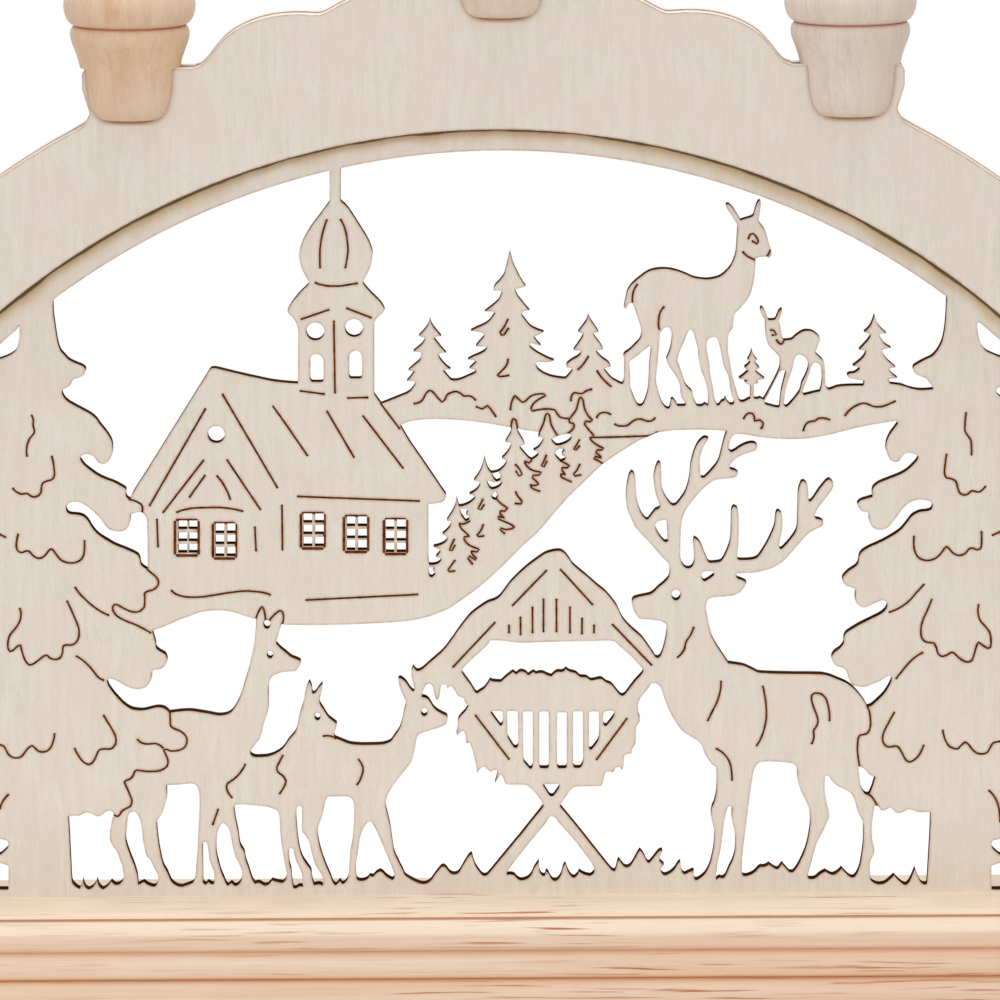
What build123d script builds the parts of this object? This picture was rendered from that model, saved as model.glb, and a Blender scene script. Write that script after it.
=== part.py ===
"""Candle arch: a plywood picture panel between two arch plates, on a moulded base, with seven
electric candles in turned wooden cups.

Millimetres, +Z up, the front looks along -Y. The origin is under the middle of the base.
"""

from build123d import *
import math
import os

# Plywood plates
PLY = 4.0
OPENING_RADIUS = 174.5
PLATE_REVEAL = 5.4
PLATE_WIDTH = 24.9
PLATE_SLIP = -1.0
ARCH_CENTRE_RISE = 2.7
LEAD_GROOVE_DEPTH = 14.0
TONGUE_DEPTH = 15.0
TAB_OUTER = 11.7
TAB_INNER = 16.9
TAB_SIDE = 4.7
TAB_WAIST = 1.8
TAB_WAIST_DROP = 10.5
TAB_FOOT_TURNS = (1.7, 4.0, 4.0)
TAB_CORNER_RADIUS = 1.5
TAB_WAIST_RADIUS = 2.0
SCALLOP_START = 14.2
NOTCH_HEIGHT = 40.0

# Base
BASE_OVERHANG = 10.2
BASE_DEPTH = 42.0
BASE_TOP = 50.0
PAD_THICKNESS = 1.5
PAD_RADIUS = 7.0
PAD_INSET = 22.0
PAD_SIDE_INSET = 9.5
TOP_ROUNDING = 1.7
QUIRK_DEPTH = 1.2
QUIRK_HEIGHT = 0.8
REED_HEIGHTS = (7.3, 6.7, 6.8)
REED_BULGE = 1.5
COVE_HEIGHT = 8.0
COVE_DEPTH = 3.0
SEAT_GAP = 0.1

# Screws through the back rail
SCREW_SHARES = (-0.7, -0.23, 0.23, 0.7)
SCREW_HEIGHT = 9.0
SCREW_HEAD_RADIUS = 3.4
SCREW_HEAD_DEPTH = 2.2
SCREW_SHANK_RADIUS = 1.6
SCREW_LENGTH = 32.0
SCREW_CROSS_WIDTH = 0.8
SCREW_CROSS_LENGTH = 3.6
SCREW_CROSS_DEPTH = 1.0
SCREW_CLEARANCE = 0.05

# Turned cups: how far they sit beside the plates' middle, how far their flats stand out of the plates'
# circle, and how far each of the three on one side is turned from the middle, in degrees
CENTRE_CUP_PLACE = 2.6
CUP_SLIP = -0.7
CENTRE_STAND = 13.2
CUP_STAND = 7.0
CUP_TURNS = (23.36, 47.0, 69.6)
CUP_TAIL = 12.0
CUP_HEIGHT = 19.5
CUP_RADIUS = 15.4
CUP_FLOOR = 1.5
CUP_WIRE_HOLE_RADIUS = 2.6
SLOT_CLEARANCE = 0.05

# Lamp sockets and lamps
SOCKET_RADIUS = 7.0
SOCKET_CLEARANCE = 0.1
SOCKET_PROUD = 0.5
SOCKET_FLOOR = 6.0
THREAD_CLEARANCE = 0.05
CAP_RADIUS = 4.75
CAP_TIP_RADIUS = 1.5
CAP_TIP_HEIGHT = 0.8
LAMP_GAP = 0.3
SHAFT_RADIUS = 6.2
SHAFT_LENGTH = 36.0
SHAFT_COLLAR_HEIGHT = 1.6
SHAFT_EDGE_ROUNDING = 0.6
GLASS_NECK_RADIUS = 5.0
GLASS_BULGE_RADIUS = 6.4
GLASS_HEIGHT = 26.0
GLASS_WALL = 0.6
GLASS_CLEARANCE = 0.1
STEM_RADIUS = 2.6
STEM_HEIGHT = 2.0
POST_RADIUS = 0.25
POST_HEIGHT = 9.0
POST_SPREAD = 2.2
FILAMENT_BEND = 0.9

# Lead and its way out
LEAD_RADIUS = 1.2
LEAD_TAIL_TURN = 1.0
LEAD_RUN_HEIGHT = 9.0
LEAD_BEND_RADIUS = 6.0
LEAD_BEND_SHARE = 0.9
STUB_BEND_RADIUS = 2.0
STUB_RISE = 3.0
INLET_INSET = 43.0
INLET_CLEARANCE = 0.1
GROMMET_RADIUS = 5.0
GROMMET_BORE = 2.6
GROMMET_LENGTH = 13.0
GROMMET_FLANGE_RADIUS = 6.2
GROMMET_FLANGE = 1.4
CHANNEL_CLEARANCE = 0.8

# One overrun serves all cuts
OVERRUN = 1.0

# How the photograph saw the panel: its middle, the base line, the opening's radius, the tilt, the
# roll and the distance of the view. Points picked in it are flattened with these.
PHOTO_MIDDLE_PX = 500.0
BASE_LINE_PX = 894.3
OPENING_RADIUS_PX = 742.5
VIEW_DISTANCE_PX = 8000.0
VIEW_TILT = math.radians(9.1)
VIEW_ROLL = math.radians(0.32)

# Sizes that follow
MM_PER_PX = OPENING_RADIUS / OPENING_RADIUS_PX
ARCH_CENTRE = BASE_TOP + ARCH_CENTRE_RISE
PLATE_INNER_RADIUS = OPENING_RADIUS + PLATE_REVEAL
PLATE_OUTER_RADIUS = PLATE_INNER_RADIUS + PLATE_WIDTH
PANEL_FRONT = -PLY / 2
PANEL_BACK = PLY / 2
STACK_HALF = PLY * 3 / 2
PANEL_OUTER_RADIUS = PLATE_OUTER_RADIUS - LEAD_GROOVE_DEPTH
TONGUE_BOTTOM = BASE_TOP - TONGUE_DEPTH
BASE_HALF = PLATE_OUTER_RADIUS + BASE_OVERHANG
BASE_LENGTH = 2 * BASE_HALF
BASE_FRONT = -BASE_DEPTH / 2
BASE_BACK = BASE_DEPTH / 2
LEAD_ARC_RADIUS = PANEL_OUTER_RADIUS + LEAD_RADIUS
LEAD_START_TURN = -math.radians(CUP_TURNS[-1] + LEAD_TAIL_TURN)
LEAD_END_TURN = math.pi / 2
LEAD_MIDDLE_TURN = (LEAD_START_TURN + LEAD_END_TURN) / 2
INLET_PLACE = BASE_HALF - INLET_INSET
SCREW_PLACES = [BASE_HALF * share for share in SCREW_SHARES]
CENTRE_FLAT_RISE = PLATE_OUTER_RADIUS + CENTRE_STAND
CUP_CIRCLE = PLATE_OUTER_RADIUS + CUP_STAND
CUP_PLACES = [CUP_CIRCLE * math.sin(math.radians(turn)) for turn in CUP_TURNS]
CUP_FLAT_RISES = [CUP_CIRCLE * math.cos(math.radians(turn)) for turn in CUP_TURNS]
LEAD_DROP_PLACE = PLATE_SLIP + LEAD_ARC_RADIUS
CUP_BORE_RADIUS = SOCKET_RADIUS + SOCKET_CLEARANCE
SOCKET_HEIGHT = CUP_HEIGHT - CUP_FLOOR + SOCKET_PROUD

# Openings of the picture, as points picked in the photograph
OPENINGS_PX = {
    "sky_left": [(53, 297), (53, 310), (54, 320), (57, 340), (60, 350), (64, 355), (69, 360),
        (76, 363.5), (82, 366), (85.5, 369), (85, 372.5), (82.5, 376), (78, 378), (73, 380), (71, 384),
        (68, 387), (63, 389.5), (62, 392), (62.5, 395), (65, 399), (70, 403), (80, 408.5), (90, 414),
        (96, 419), (100, 424.5), (106, 432), (110, 438), (112, 443), (112.5, 450), (111, 457),
        (107.5, 462), (104, 464), (100, 463.5), (97, 461), (94, 457), (90, 454.5), (86, 454),
        (82, 455.5), (80, 459), (84, 465), (90, 470), (97, 475), (105, 479), (113, 482), (120, 485.5),
        (125, 488.5), (126, 491), (125.5, 494.5), (127, 498), (130.3, 499.5), (134, 491), (150, 466),
        (210, 369.5), (213.5, 368.2), (218, 368.8), (225, 370.5), (235, 373), (255, 377.5),
        (275, 381.5), (298, 383.5), (298, 330), (297, 325), (295, 321), (292, 317), (288.5, 313.5),
        (287.5, 311), (290, 306), (294, 300), (300, 293), (306, 287), (308.5, 284), (308.5, 281),
        (305, 275), (302, 269), (300, 262), (299, 254), (301, 246), (305, 237), (311, 227), (320, 215),
        (328, 204), (329.5, 201), (329.5, 170.4)],
    "branch_gap": [(66, 508), (68, 504), (72, 502), (78, 502), (85, 505), (90, 508.5), (95, 513),
        (100, 518), (105, 525), (109, 529), (114, 531), (120, 531.5), (125, 530), (128.5, 526.5),
        (130, 521), (130.5, 514), (135, 513), (139.5, 512), (143, 513.5), (146, 516.5), (147, 520),
        (147.5, 540), (148, 570), (143, 567), (140.5, 564), (140, 560), (138, 555.5), (133, 552.5),
        (125, 549), (115, 545), (108, 541), (100, 536), (95, 531.5), (91, 526), (88, 521), (84, 517),
        (79, 515), (70, 514), (67, 512)],
    "under_church_left": [(152, 631), (160, 628), (170, 624), (180, 619.5), (190, 616), (200, 612.3),
        (210, 610.7), (222, 610.5), (233, 612), (245, 616), (256, 619), (255.5, 630), (254, 645),
        (251, 660), (248, 672), (244, 685), (241, 695), (238, 702), (234, 709), (230, 713), (225, 715),
        (218, 715.5), (210, 714), (200, 712.3), (190, 711), (180, 711.5), (169.5, 713), (166.5, 710),
        (163, 708), (157, 707.5), (150, 709), (143, 710.5), (135, 710), (130, 708.5), (124, 704.5),
        (119, 699.5), (114, 694), (109, 687), (107, 682), (107.5, 679.5), (110, 678.5), (115, 680),
        (121, 683), (128, 687), (135, 689), (142.5, 688.5), (147, 686), (150, 682), (151.5, 678),
        (152, 672.5), (154, 670), (158, 669.5), (163, 667.5), (166.5, 663), (167, 659), (165, 654.5),
        (160, 651.5), (156, 648), (155.5, 643), (154, 638)],
    "trunk_gap": [(68, 816), (80, 815.5), (83, 813.5), (87, 812.5), (91, 813.5), (95, 815.5),
        (98, 816.5), (102, 815), (106, 811.5), (109, 810.5), (112, 811.5), (113.5, 814), (113, 818),
        (111, 825), (110, 832), (110, 840), (113, 846), (117, 852), (120, 860), (122.5, 868),
        (123.5, 878), (122, 882), (119, 884.5), (115, 885), (111, 881.5), (108, 886), (103, 889.5),
        (99, 886), (97, 879), (94, 886), (89, 889.5), (85, 887), (83, 880), (80, 889), (76, 887),
        (72, 882), (71, 870), (69.5, 840)],
    "doe_hind_legs": [(129, 814), (132, 812), (135, 812), (138, 815), (140, 820), (142, 830),
        (143, 840), (146, 855), (150, 860), (154, 868), (158, 876), (157, 884), (154, 887), (148, 885),
        (144, 882), (140, 884), (138, 885), (137, 875), (134, 865), (130, 855), (126, 843),
        (125.5, 835), (127, 822)],
    "doe_belly": [(166, 785), (180, 784.5), (190, 783.5), (195, 784.5), (198, 788), (199.5, 795),
        (199.5, 810), (198.5, 830), (197.5, 850), (196, 865), (195, 878), (193, 883), (188, 885),
        (181, 887), (175, 885), (171, 881), (167, 872), (163, 865), (160, 852), (158, 840),
        (156.5, 825), (157, 821), (161, 815), (164, 808), (166.5, 798)],
    "doe_front_gap": [(202.5, 843), (205, 841.5), (207, 843), (208.5, 852), (209.5, 860), (212, 867),
        (214, 873), (214, 884), (211, 884), (208.5, 882), (205.5, 885), (203, 883)],
    "doe_front_legs": [(219, 828), (222, 823.5), (225, 824), (229, 829), (231, 837), (233, 848),
        (235, 856), (240, 866), (242, 873), (241.5, 880), (238, 885), (234.5, 886), (231.5, 883),
        (228, 886), (226, 884), (224, 879), (221, 872), (219, 865), (216.5, 855), (216, 845), (217, 835)],
    "between_does_legs": [(234, 808), (236, 804.5), (245, 804.5), (257, 805.5), (268, 807), (276, 810),
        (279, 814), (280, 825), (281, 840), (284, 860), (286.5, 872), (286, 879), (282.5, 883),
        (277, 882), (272, 880.5), (268, 885), (264, 885.5), (259, 883), (255, 884), (252, 879),
        (249, 870), (245.5, 860), (244, 852), (240, 845), (238, 832), (235.5, 820)],
    "fawn_leg_gap": [(289, 850), (291, 848), (294, 850), (295, 858), (299, 867), (301.5, 873),
        (302.5, 880), (303, 887), (299, 886.5), (296, 888.5), (293.3, 888), (292, 880), (291, 870),
        (289, 862)],
    "fawn_hind_legs": [(297, 807), (300, 805.5), (302, 808), (302, 818), (302, 831), (306, 836),
        (309, 842), (311, 850), (313.5, 860), (317, 868), (321, 874), (323, 880), (322.5, 886),
        (320, 884.5), (317, 884.5), (314, 885.5), (312, 879), (311, 871), (307, 865), (303, 859),
        (300, 851), (298, 840), (296.5, 825), (296, 815)],
    "fawn_belly": [(326, 799), (328, 796.5), (340, 796.5), (348, 796.5), (352, 799), (354, 803),
        (354, 820), (352.5, 840), (350, 855), (349, 868), (348, 878), (345, 883), (342, 884),
        (340, 881), (336, 885.5), (333, 883), (330, 875), (326, 866), (322, 855), (318.5, 842),
        (317.5, 832), (319, 824), (322, 817), (324, 808)],
    "fawn_front_legs": [(367, 823), (369, 821.5), (372, 822.5), (376, 830), (381, 841), (386, 853),
        (390, 863), (394, 873), (394.5, 878), (392.5, 880), (387, 877), (383, 873), (380.5, 871.5),
        (377, 873), (373, 877), (370, 876), (366, 880), (360, 881), (356.5, 879), (356, 865),
        (358, 853), (360, 838), (363, 829)],
    "meadow": [(281.5, 624.5), (300, 625), (320, 625), (345, 624.5), (370, 623.5), (395, 622),
        (410, 620.5), (425, 617.5), (437, 613.5), (448.6, 608.6), (457, 603), (471.4, 593),
        (485.7, 581.4), (502.9, 565.7), (521.4, 547), (537, 533), (555.7, 511.4), (567, 498.6),
        (578.6, 487.1), (590, 476), (600, 466.5), (612, 457.5), (625, 449), (640, 440), (650, 436),
        (657, 433), (665, 431.2), (676, 430.2), (690, 429.7), (705, 429.7), (720, 430.5), (727, 431),
        (724, 440), (721, 452), (718, 462), (711, 471), (704, 478), (701, 477.5), (700, 470),
        (700, 458), (703, 448), (707, 441), (708.5, 438.5), (705, 437.5), (701, 440), (697, 445),
        (693, 455), (690.5, 466), (689.5, 477), (687, 488), (683, 496), (677, 504), (674, 505.5),
        (671, 504.5), (666, 498), (662.5, 490), (661.5, 480), (661.3, 470), (660.5, 464),
        (658.5, 462.5), (656, 467), (654, 476), (654, 484), (656, 495), (660, 506), (659, 508.5),
        (655, 510.5), (650, 517), (648, 519.5), (646, 519.5), (641, 513), (637.5, 503), (636, 490),
        (635.5, 480), (634, 474), (631.5, 472), (629, 476), (627, 485), (626, 497), (627, 508),
        (631, 518), (636, 528), (650, 543), (663, 558), (668, 563), (669.5, 570), (669, 577),
        (665, 582), (658, 588), (654, 592), (650, 594.5), (641, 596.5), (635, 598), (632.5, 600),
        (632, 604), (634, 611), (638, 617), (641, 619), (650, 619.5), (660, 621), (666, 624),
        (667, 630), (665.5, 640), (663, 650), (660.5, 656), (658, 658), (655.5, 657.5), (652, 652),
        (645, 642), (640, 636), (632, 629), (626, 623), (621, 616), (617, 607), (612, 600), (605, 592),
        (597, 585.5), (585, 575), (573, 565), (569, 559), (565, 554), (560, 551), (553, 551.5),
        (545, 554), (536, 560), (525, 568.5), (512, 581), (505, 590), (500, 596.5), (495, 600),
        (487, 603), (478, 609), (470, 615.5), (460, 628), (453, 638), (443, 651), (430, 662.5),
        (424, 668), (419, 671), (416, 670.5), (413.5, 667), (411.5, 672), (412, 679), (414.5, 688),
        (413.5, 692), (410, 688.5), (405.5, 682), (400, 678), (398.3, 679), (399.5, 686), (402, 693),
        (405.5, 700), (406, 704), (404, 712), (402, 722), (399, 730), (394, 737), (390, 742),
        (382, 744.5), (370, 745), (360, 745), (350, 744), (342, 741), (334.5, 738), (334, 733),
        (336, 728), (336.8, 724), (333, 721), (328, 717), (323, 709), (319.5, 703), (320.5, 696),
        (322, 689), (322.5, 684), (319, 687.5), (316, 692), (313.3, 694), (312, 692), (311.5, 687),
        (309.3, 682), (307, 687), (305, 695), (303.5, 703), (301, 711), (299, 718), (297, 728),
        (295, 733), (289, 740), (283, 748.5), (277, 753), (270, 756), (263, 757), (255, 757),
        (251, 755), (250.3, 751.5), (254, 746), (259.5, 739), (262, 731), (264.5, 721), (267, 714),
        (268.5, 708), (268.5, 687), (270, 680), (273, 676), (279, 673), (288, 671.5), (295, 671),
        (298, 668), (300.5, 664), (300, 661), (296, 659), (291, 657), (285, 652), (280, 648),
        (276, 643.5), (276.5, 641), (279, 632)],
    "clearing": [(421.5, 697), (423.5, 690), (426, 685), (429.5, 683.5), (433, 687), (434, 693),
        (436, 699), (437.5, 700), (439.5, 696), (440.5, 688), (441.5, 684.5), (446, 684.5),
        (447.5, 689), (449, 686.5), (452, 686.5), (455, 691), (458, 696), (461, 697), (464, 698.5),
        (465, 702), (468.5, 705.5), (465.5, 711), (460, 717), (458, 721), (457.5, 730), (456.5, 734),
        (458, 735.5), (461, 731.5), (464, 731), (465.5, 736), (466, 743), (470, 743), (473, 752),
        (475, 760), (476.5, 768), (477.5, 773.5), (480, 769), (484, 766.5), (487, 769), (491, 772),
        (493, 770.5), (497.5, 769.5), (497, 776), (495, 783), (497.5, 779), (500, 774.5), (503, 777),
        (505, 783), (507, 784.5), (525, 784.8), (529, 787), (534, 791.5), (540, 799), (543.7, 806),
        (540, 811), (520, 836), (500, 860), (491, 871), (487.5, 875), (485, 876), (482, 875),
        (478, 870), (474.5, 864), (472, 855), (471, 854.5), (468, 857.5), (464, 864), (460, 871),
        (457, 874), (453, 874.5), (449.5, 872.5), (446, 868), (443, 866.5), (440, 868.5), (435, 875),
        (431, 880.5), (427, 883.5), (422, 884), (416, 882), (405.5, 876), (403, 871), (399, 863),
        (394, 852), (392, 840), (390, 826), (387.5, 815), (385.5, 806), (387, 797), (392, 787),
        (398, 779), (405, 770), (411, 762), (414, 752), (416, 742), (418, 735.5), (423, 732.5),
        (431, 730), (439, 727.5), (446, 724), (447.5, 719), (446.5, 716), (441.5, 713.5),
        (436.5, 710.5), (433, 707), (430, 702), (427, 698.5)],
    "rack_slot": [(490, 640.5), (500, 640.5), (518, 642.5), (530, 642.5), (560, 641.5), (591, 641),
        (610, 640.5), (616, 642.5), (620, 646.5), (632, 657), (643.5, 670), (642, 674), (635.5, 681),
        (630, 688), (625.5, 694), (622.5, 696), (619.5, 694.5), (615, 689), (611, 684.5), (606, 682.5),
        (601, 679), (595, 680), (590.5, 680.5), (586, 677.5), (580, 677), (576, 673.5), (569, 671.5),
        (566, 669), (562, 672), (557, 672), (551.5, 676.5), (548, 675.5), (542, 673), (536, 674),
        (533.5, 672), (528, 675.5), (525, 672.5), (520, 671.5), (516, 674.5), (513, 672), (507, 676.5),
        (501, 682), (493, 681.5), (490, 680), (485, 688), (480, 691.5), (477, 693.5), (475, 692),
        (470, 684), (462, 673), (462.5, 669), (470, 661), (480, 652), (488, 644)],
    "rack_bar_1": [(490.8, 712), (493, 711), (501, 711), (502.8, 713), (503, 722), (501, 726),
        (498.5, 723.5), (491.5, 714)],
    "rack_bar_2": [(507, 713), (508.5, 711), (516, 711), (518, 713), (518.3, 745), (516, 748),
        (514, 747.5), (508, 738), (507.5, 735)],
    "rack_bar_3": [(522.8, 713), (524, 711.5), (531.5, 711.5), (533, 713), (533, 765), (531, 769),
        (529, 768), (523.5, 760)],
    "rack_bar_4": [(539.3, 713), (541, 711.5), (547.5, 711.5), (549, 713), (549, 766), (547.5, 768.3),
        (540.5, 768.3), (539.3, 766)],
    "rack_bar_5": [(557, 714), (558.5, 712.3), (565.5, 712.3), (567, 714), (567, 766), (565.5, 768.3),
        (558.8, 768.3), (557, 765)],
    "rack_bar_6": [(573, 713), (574.5, 711.3), (582, 711.3), (583.3, 713), (583.3, 761), (580, 768),
        (575, 768), (573, 765)],
    "rack_bar_7": [(589, 713), (590.5, 711.5), (598, 711.5), (599.3, 713), (599, 738), (593, 748),
        (590, 750), (589, 747)],
    "rack_bar_8": [(603.5, 713), (606, 711.3), (612.5, 710.5), (614.5, 713), (613.5, 717), (606.5, 726),
        (604.5, 726), (603, 722)],
    "rack_cross": [(542.8, 785), (545, 784), (559, 784), (559, 788), (553.5, 796), (551.5, 796.5),
        (549, 795)],
    "rack_foot": [(552, 816.3), (555.5, 818), (560, 824), (575, 841), (590, 861), (594.5, 870),
        (593.5, 873.5), (590, 876), (584, 874.5), (579, 871.5), (577.5, 875), (574, 878),
        (570.5, 875.5), (567.5, 870), (565.5, 864), (563, 868), (561, 875), (557.5, 880), (554, 881),
        (551, 878.5), (548.5, 873.5), (546, 871.5), (545, 876), (542.5, 876), (539.5, 871), (539, 862),
        (534.5, 868), (531.5, 874.5), (527, 879), (521, 880.5), (517, 878.5), (513.5, 875),
        (506.5, 875), (508, 870.5), (515, 861), (530, 842), (545, 824), (549, 817.5)],
    "stag_field": [(650.5, 684.5), (653.5, 683), (658, 684.5), (661, 688), (664, 697), (667.5, 706),
        (671, 714), (677, 724), (683, 731.5), (690, 736), (698, 741), (702, 746), (704.5, 753),
        (709.5, 761), (713, 765), (716.5, 767), (717, 780), (716.5, 792), (714.5, 802), (712, 808),
        (711.2, 816), (713, 825), (714.5, 832), (714, 845), (712, 857), (709, 867), (705, 874),
        (700, 878.5), (696, 880.5), (694, 878), (694, 870.5), (690, 872), (685, 874.5), (682, 872),
        (680.5, 862), (678, 864), (674, 870), (669, 874), (664.5, 875.5), (661.5, 873), (661, 869),
        (664, 865), (662, 863.5), (659.5, 861), (660, 857), (662.5, 851), (659, 851.5), (654, 857.5),
        (649.5, 863), (647, 862), (643.5, 855), (640, 850.5), (637, 855), (632, 864), (628, 867.5),
        (624, 866.5), (619, 860), (617.5, 862), (616, 868.5), (614.5, 871.5), (611, 869.5), (600, 856),
        (585, 837), (572, 821), (560, 806.5), (561, 803.5), (567, 795), (572, 788.5), (576.5, 786.5),
        (600, 786), (602.5, 783.5), (604, 777), (606, 772), (610, 771.5), (613, 772.5), (616, 767.5),
        (619.5, 767), (622, 770), (623.5, 766), (624, 757), (626, 754.5), (631.5, 753.5), (632.5, 748),
        (635.5, 743.5), (636, 728), (637.5, 725), (640, 720), (638.5, 714), (638, 704), (640, 699),
        (644, 693.5), (648.5, 688)],
    "stag_front_legs": [(730, 806), (732.5, 807.5), (732, 820), (734.5, 830), (735.5, 840), (735, 852),
        (732.5, 861), (729.5, 867), (725.5, 876), (722, 878.5), (719.5, 877.5), (716, 880),
        (716.5, 873), (718, 862), (721, 847), (722.5, 835), (724, 822), (726.5, 811), (728.5, 806.5)],
    "stag_belly": [(754, 770), (757, 764.5), (762, 761.8), (775, 761.5), (790, 762.8), (794, 764),
        (797, 768.5), (798, 780), (800.5, 790), (806, 801), (809.5, 810), (810.5, 822), (809, 835),
        (806, 848), (801.5, 859), (797, 867.5), (793, 872.5), (789.5, 872.5), (786, 868.5), (782, 864),
        (778.5, 869), (775.5, 869), (769, 864.5), (764.5, 867), (759.5, 867.5), (754, 873),
        (747.5, 876), (742.5, 875.5), (742, 868), (743, 850), (745.5, 830), (748, 810), (750, 793),
        (752, 780)],
    "stag_hind_legs": [(826.5, 775.5), (829.5, 777), (833, 782), (838, 786), (845, 789.5), (851, 793.5),
        (854.5, 800), (858, 812), (862, 820), (863.5, 826), (863.5, 842), (862, 855), (860, 866),
        (857.5, 873), (854, 877.5), (850, 877), (845.5, 873), (841.5, 868.5), (838, 872.5), (833, 875),
        (828.5, 873.5), (825.5, 871.5), (820, 874.5), (815, 878.5), (809, 879), (807.5, 876.5),
        (810, 868), (813, 856), (817, 843), (823, 831), (829, 818), (829.5, 815), (827.5, 807),
        (825.5, 796), (824.5, 788), (825, 778)],
    "stag_tail_gap": [(858.5, 767), (862, 767.5), (866, 770.5), (870, 775), (875.5, 776.5),
        (872.5, 787), (869.5, 794), (867.5, 795), (864, 793), (861, 787), (859.5, 778)],
    "bush_gap": [(874.5, 806), (878, 806.5), (881, 810.5), (885, 810), (889.5, 807.5), (893, 809.5),
        (896, 812.5), (900, 813), (904, 811.5), (908, 809.5), (912, 809.8), (918, 812), (930.5, 812),
        (930.5, 825), (929.5, 845), (928, 870), (927, 884), (924, 884.5), (920.5, 882), (917, 874),
        (915, 869), (913, 874), (910, 881), (906.5, 885), (903, 884), (898, 880), (894, 875.5),
        (890, 879.5), (885, 883.5), (879, 884.5), (874, 883), (870.5, 880), (870.3, 862), (872.5, 857),
        (874.5, 852), (873.5, 845), (872, 838), (871.7, 828), (873, 815)],
    "tower_window_low_left": [(310, 361), (311, 357), (314, 354.5), (319, 354.5), (322, 357),
        (323.5, 361), (323.5, 379), (322, 382), (312, 382), (310, 379)],
    "tower_window_low_right": [(349, 357), (350.5, 353), (354, 351), (358, 351), (361, 353.5),
        (362, 357), (362, 376), (360.5, 378.5), (351, 378.5), (349, 376)],
    "valley_sky": [(400, 425.5), (406, 422.5), (413, 420.8), (425, 419.3), (440, 419), (455, 419.7),
        (475, 421.5), (495, 424.5), (510.5, 427.5), (511, 432), (508.5, 437), (505.5, 442),
        (510.5, 442.5), (511, 446), (509, 450.5), (506, 454.5), (502, 458.5), (506.5, 460.5),
        (506, 464), (502.5, 468.5), (497.5, 471.8), (491, 473), (488, 469), (486, 464), (484.5, 457.5),
        (483, 464.5), (480.5, 471), (477.5, 476), (474, 480.5), (479, 481.5), (480, 484.5),
        (478, 488.5), (474.5, 491.8), (469.5, 494.3), (475, 496), (474.5, 499), (470, 503),
        (464, 505.7), (458.8, 506.5), (456.5, 498), (455.5, 505), (453, 511), (450.5, 515),
        (447, 520.5), (451, 521.5), (450.5, 526), (447.5, 530), (442.5, 534.5), (447.5, 537),
        (446.5, 541), (442, 544.5), (433.5, 547), (440, 549.5), (440, 552.5), (436, 557),
        (441.5, 558.5), (440.5, 561.5), (437, 564.2), (432, 565), (429, 564.8), (428.3, 555),
        (428.2, 504), (436, 503.3), (443, 501.5), (446, 497), (446, 495), (440, 486.5), (430, 471.5),
        (420, 457), (410, 442.5)],
    "valley_toe": [(429, 567.5), (434.5, 567.5), (433, 571), (435.5, 574), (432, 577.5), (429.5, 576.5),
        (428.5, 572)],
    "grove_gap_1": [(518, 428.5), (525, 430), (532, 431), (539.3, 432), (539, 434), (538.3, 437),
        (542.5, 437.5), (543, 440), (541, 444.5), (538, 448), (533.5, 450.5), (538, 452),
        (538.5, 454.5), (535.5, 457.5), (531.5, 460), (528, 457.5), (523.5, 452.5), (519.5, 447.5),
        (521.5, 445.5), (524.5, 444.5), (523, 441), (520, 436), (517.5, 431)],
    "grove_gap_2": [(551, 439.5), (557, 436.5), (563, 434.5), (569, 434), (571.5, 436), (571, 439),
        (567, 442.5), (561, 445), (556.5, 445.5), (553.5, 443)],
    "grove_gap_3": [(555.5, 452), (559.5, 448.5), (565, 449.5), (562.5, 453), (562, 455.5), (566, 457),
        (565, 460), (561, 461.5), (557.5, 458.5), (555, 455)],
    "grove_gap_4": [(492, 474.5), (498, 473), (501, 476), (500, 479.5), (496.5, 480.5), (493.5, 478)],
    "grove_gap_5": [(487, 482), (489, 480.5), (494, 482.5), (498, 481.5), (502, 481.5), (501, 485),
        (497, 488), (492, 489.5), (489, 487)],
    "grove_gap_6": [(491.5, 495.5), (495, 493), (498, 496), (495.5, 499), (492.5, 498)],
    "grove_gap_7": [(459.5, 509), (465, 509), (468, 511), (466, 515), (469.5, 516), (469, 520),
        (465.5, 521.5), (463.5, 518.5), (461, 515)],
    "sky_centre": [(340.5, 166.6), (340.5, 200), (345, 205), (349.5, 210.5), (355, 219), (362, 230),
        (368, 240), (372, 250), (372.5, 255), (371.5, 262), (369, 270), (364.5, 279), (363, 281.5),
        (364, 285), (370, 292), (378, 300), (382.5, 305.5), (384.5, 310), (383, 312.5), (378, 317),
        (375, 321), (374, 325), (374, 393.5), (376, 397), (381.2, 404), (390, 400.5), (400, 396.5),
        (408, 393), (412, 389.5), (415, 385), (415.5, 382.5), (413, 381), (407, 381.2), (410, 378),
        (413, 374), (415, 371.3), (408.5, 370.7), (413, 366.5), (420, 360.5), (421, 357), (421.5, 353),
        (419, 352), (413.5, 351.7), (418, 348), (422, 344.5), (425, 340), (424, 337.5), (419, 336.2),
        (423, 332), (427, 327), (429, 323), (430, 317.5), (431, 323), (434, 328), (438, 333),
        (441, 336.3), (437, 336.7), (433.5, 338.5), (438, 344), (442, 349), (446, 353), (441, 353),
        (438.5, 355), (439.5, 358.5), (443, 363), (447, 367), (450.5, 369.3), (446, 369.5), (443, 371),
        (446, 374.5), (449, 378), (451.5, 380.3), (456, 380.5), (461, 379.5), (468, 376.5),
        (474, 373.8), (476.5, 371.3), (474, 369.6), (469.5, 368.7), (473, 365.5), (476.5, 362),
        (475, 360.6), (468, 359.7), (474, 356.5), (480, 354), (485, 351), (487, 347.5), (486, 346),
        (482, 346.5), (476, 346.3), (480, 341.5), (484, 337), (484, 334), (481, 332.3), (471, 331),
        (477, 328), (484, 325), (489, 321.5), (493, 316.5), (495.5, 313), (494, 311.6), (485, 311.6),
        (490, 308), (495, 304), (499, 300), (501, 295), (502, 292), (500, 290.6), (493.7, 290.6),
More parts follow.
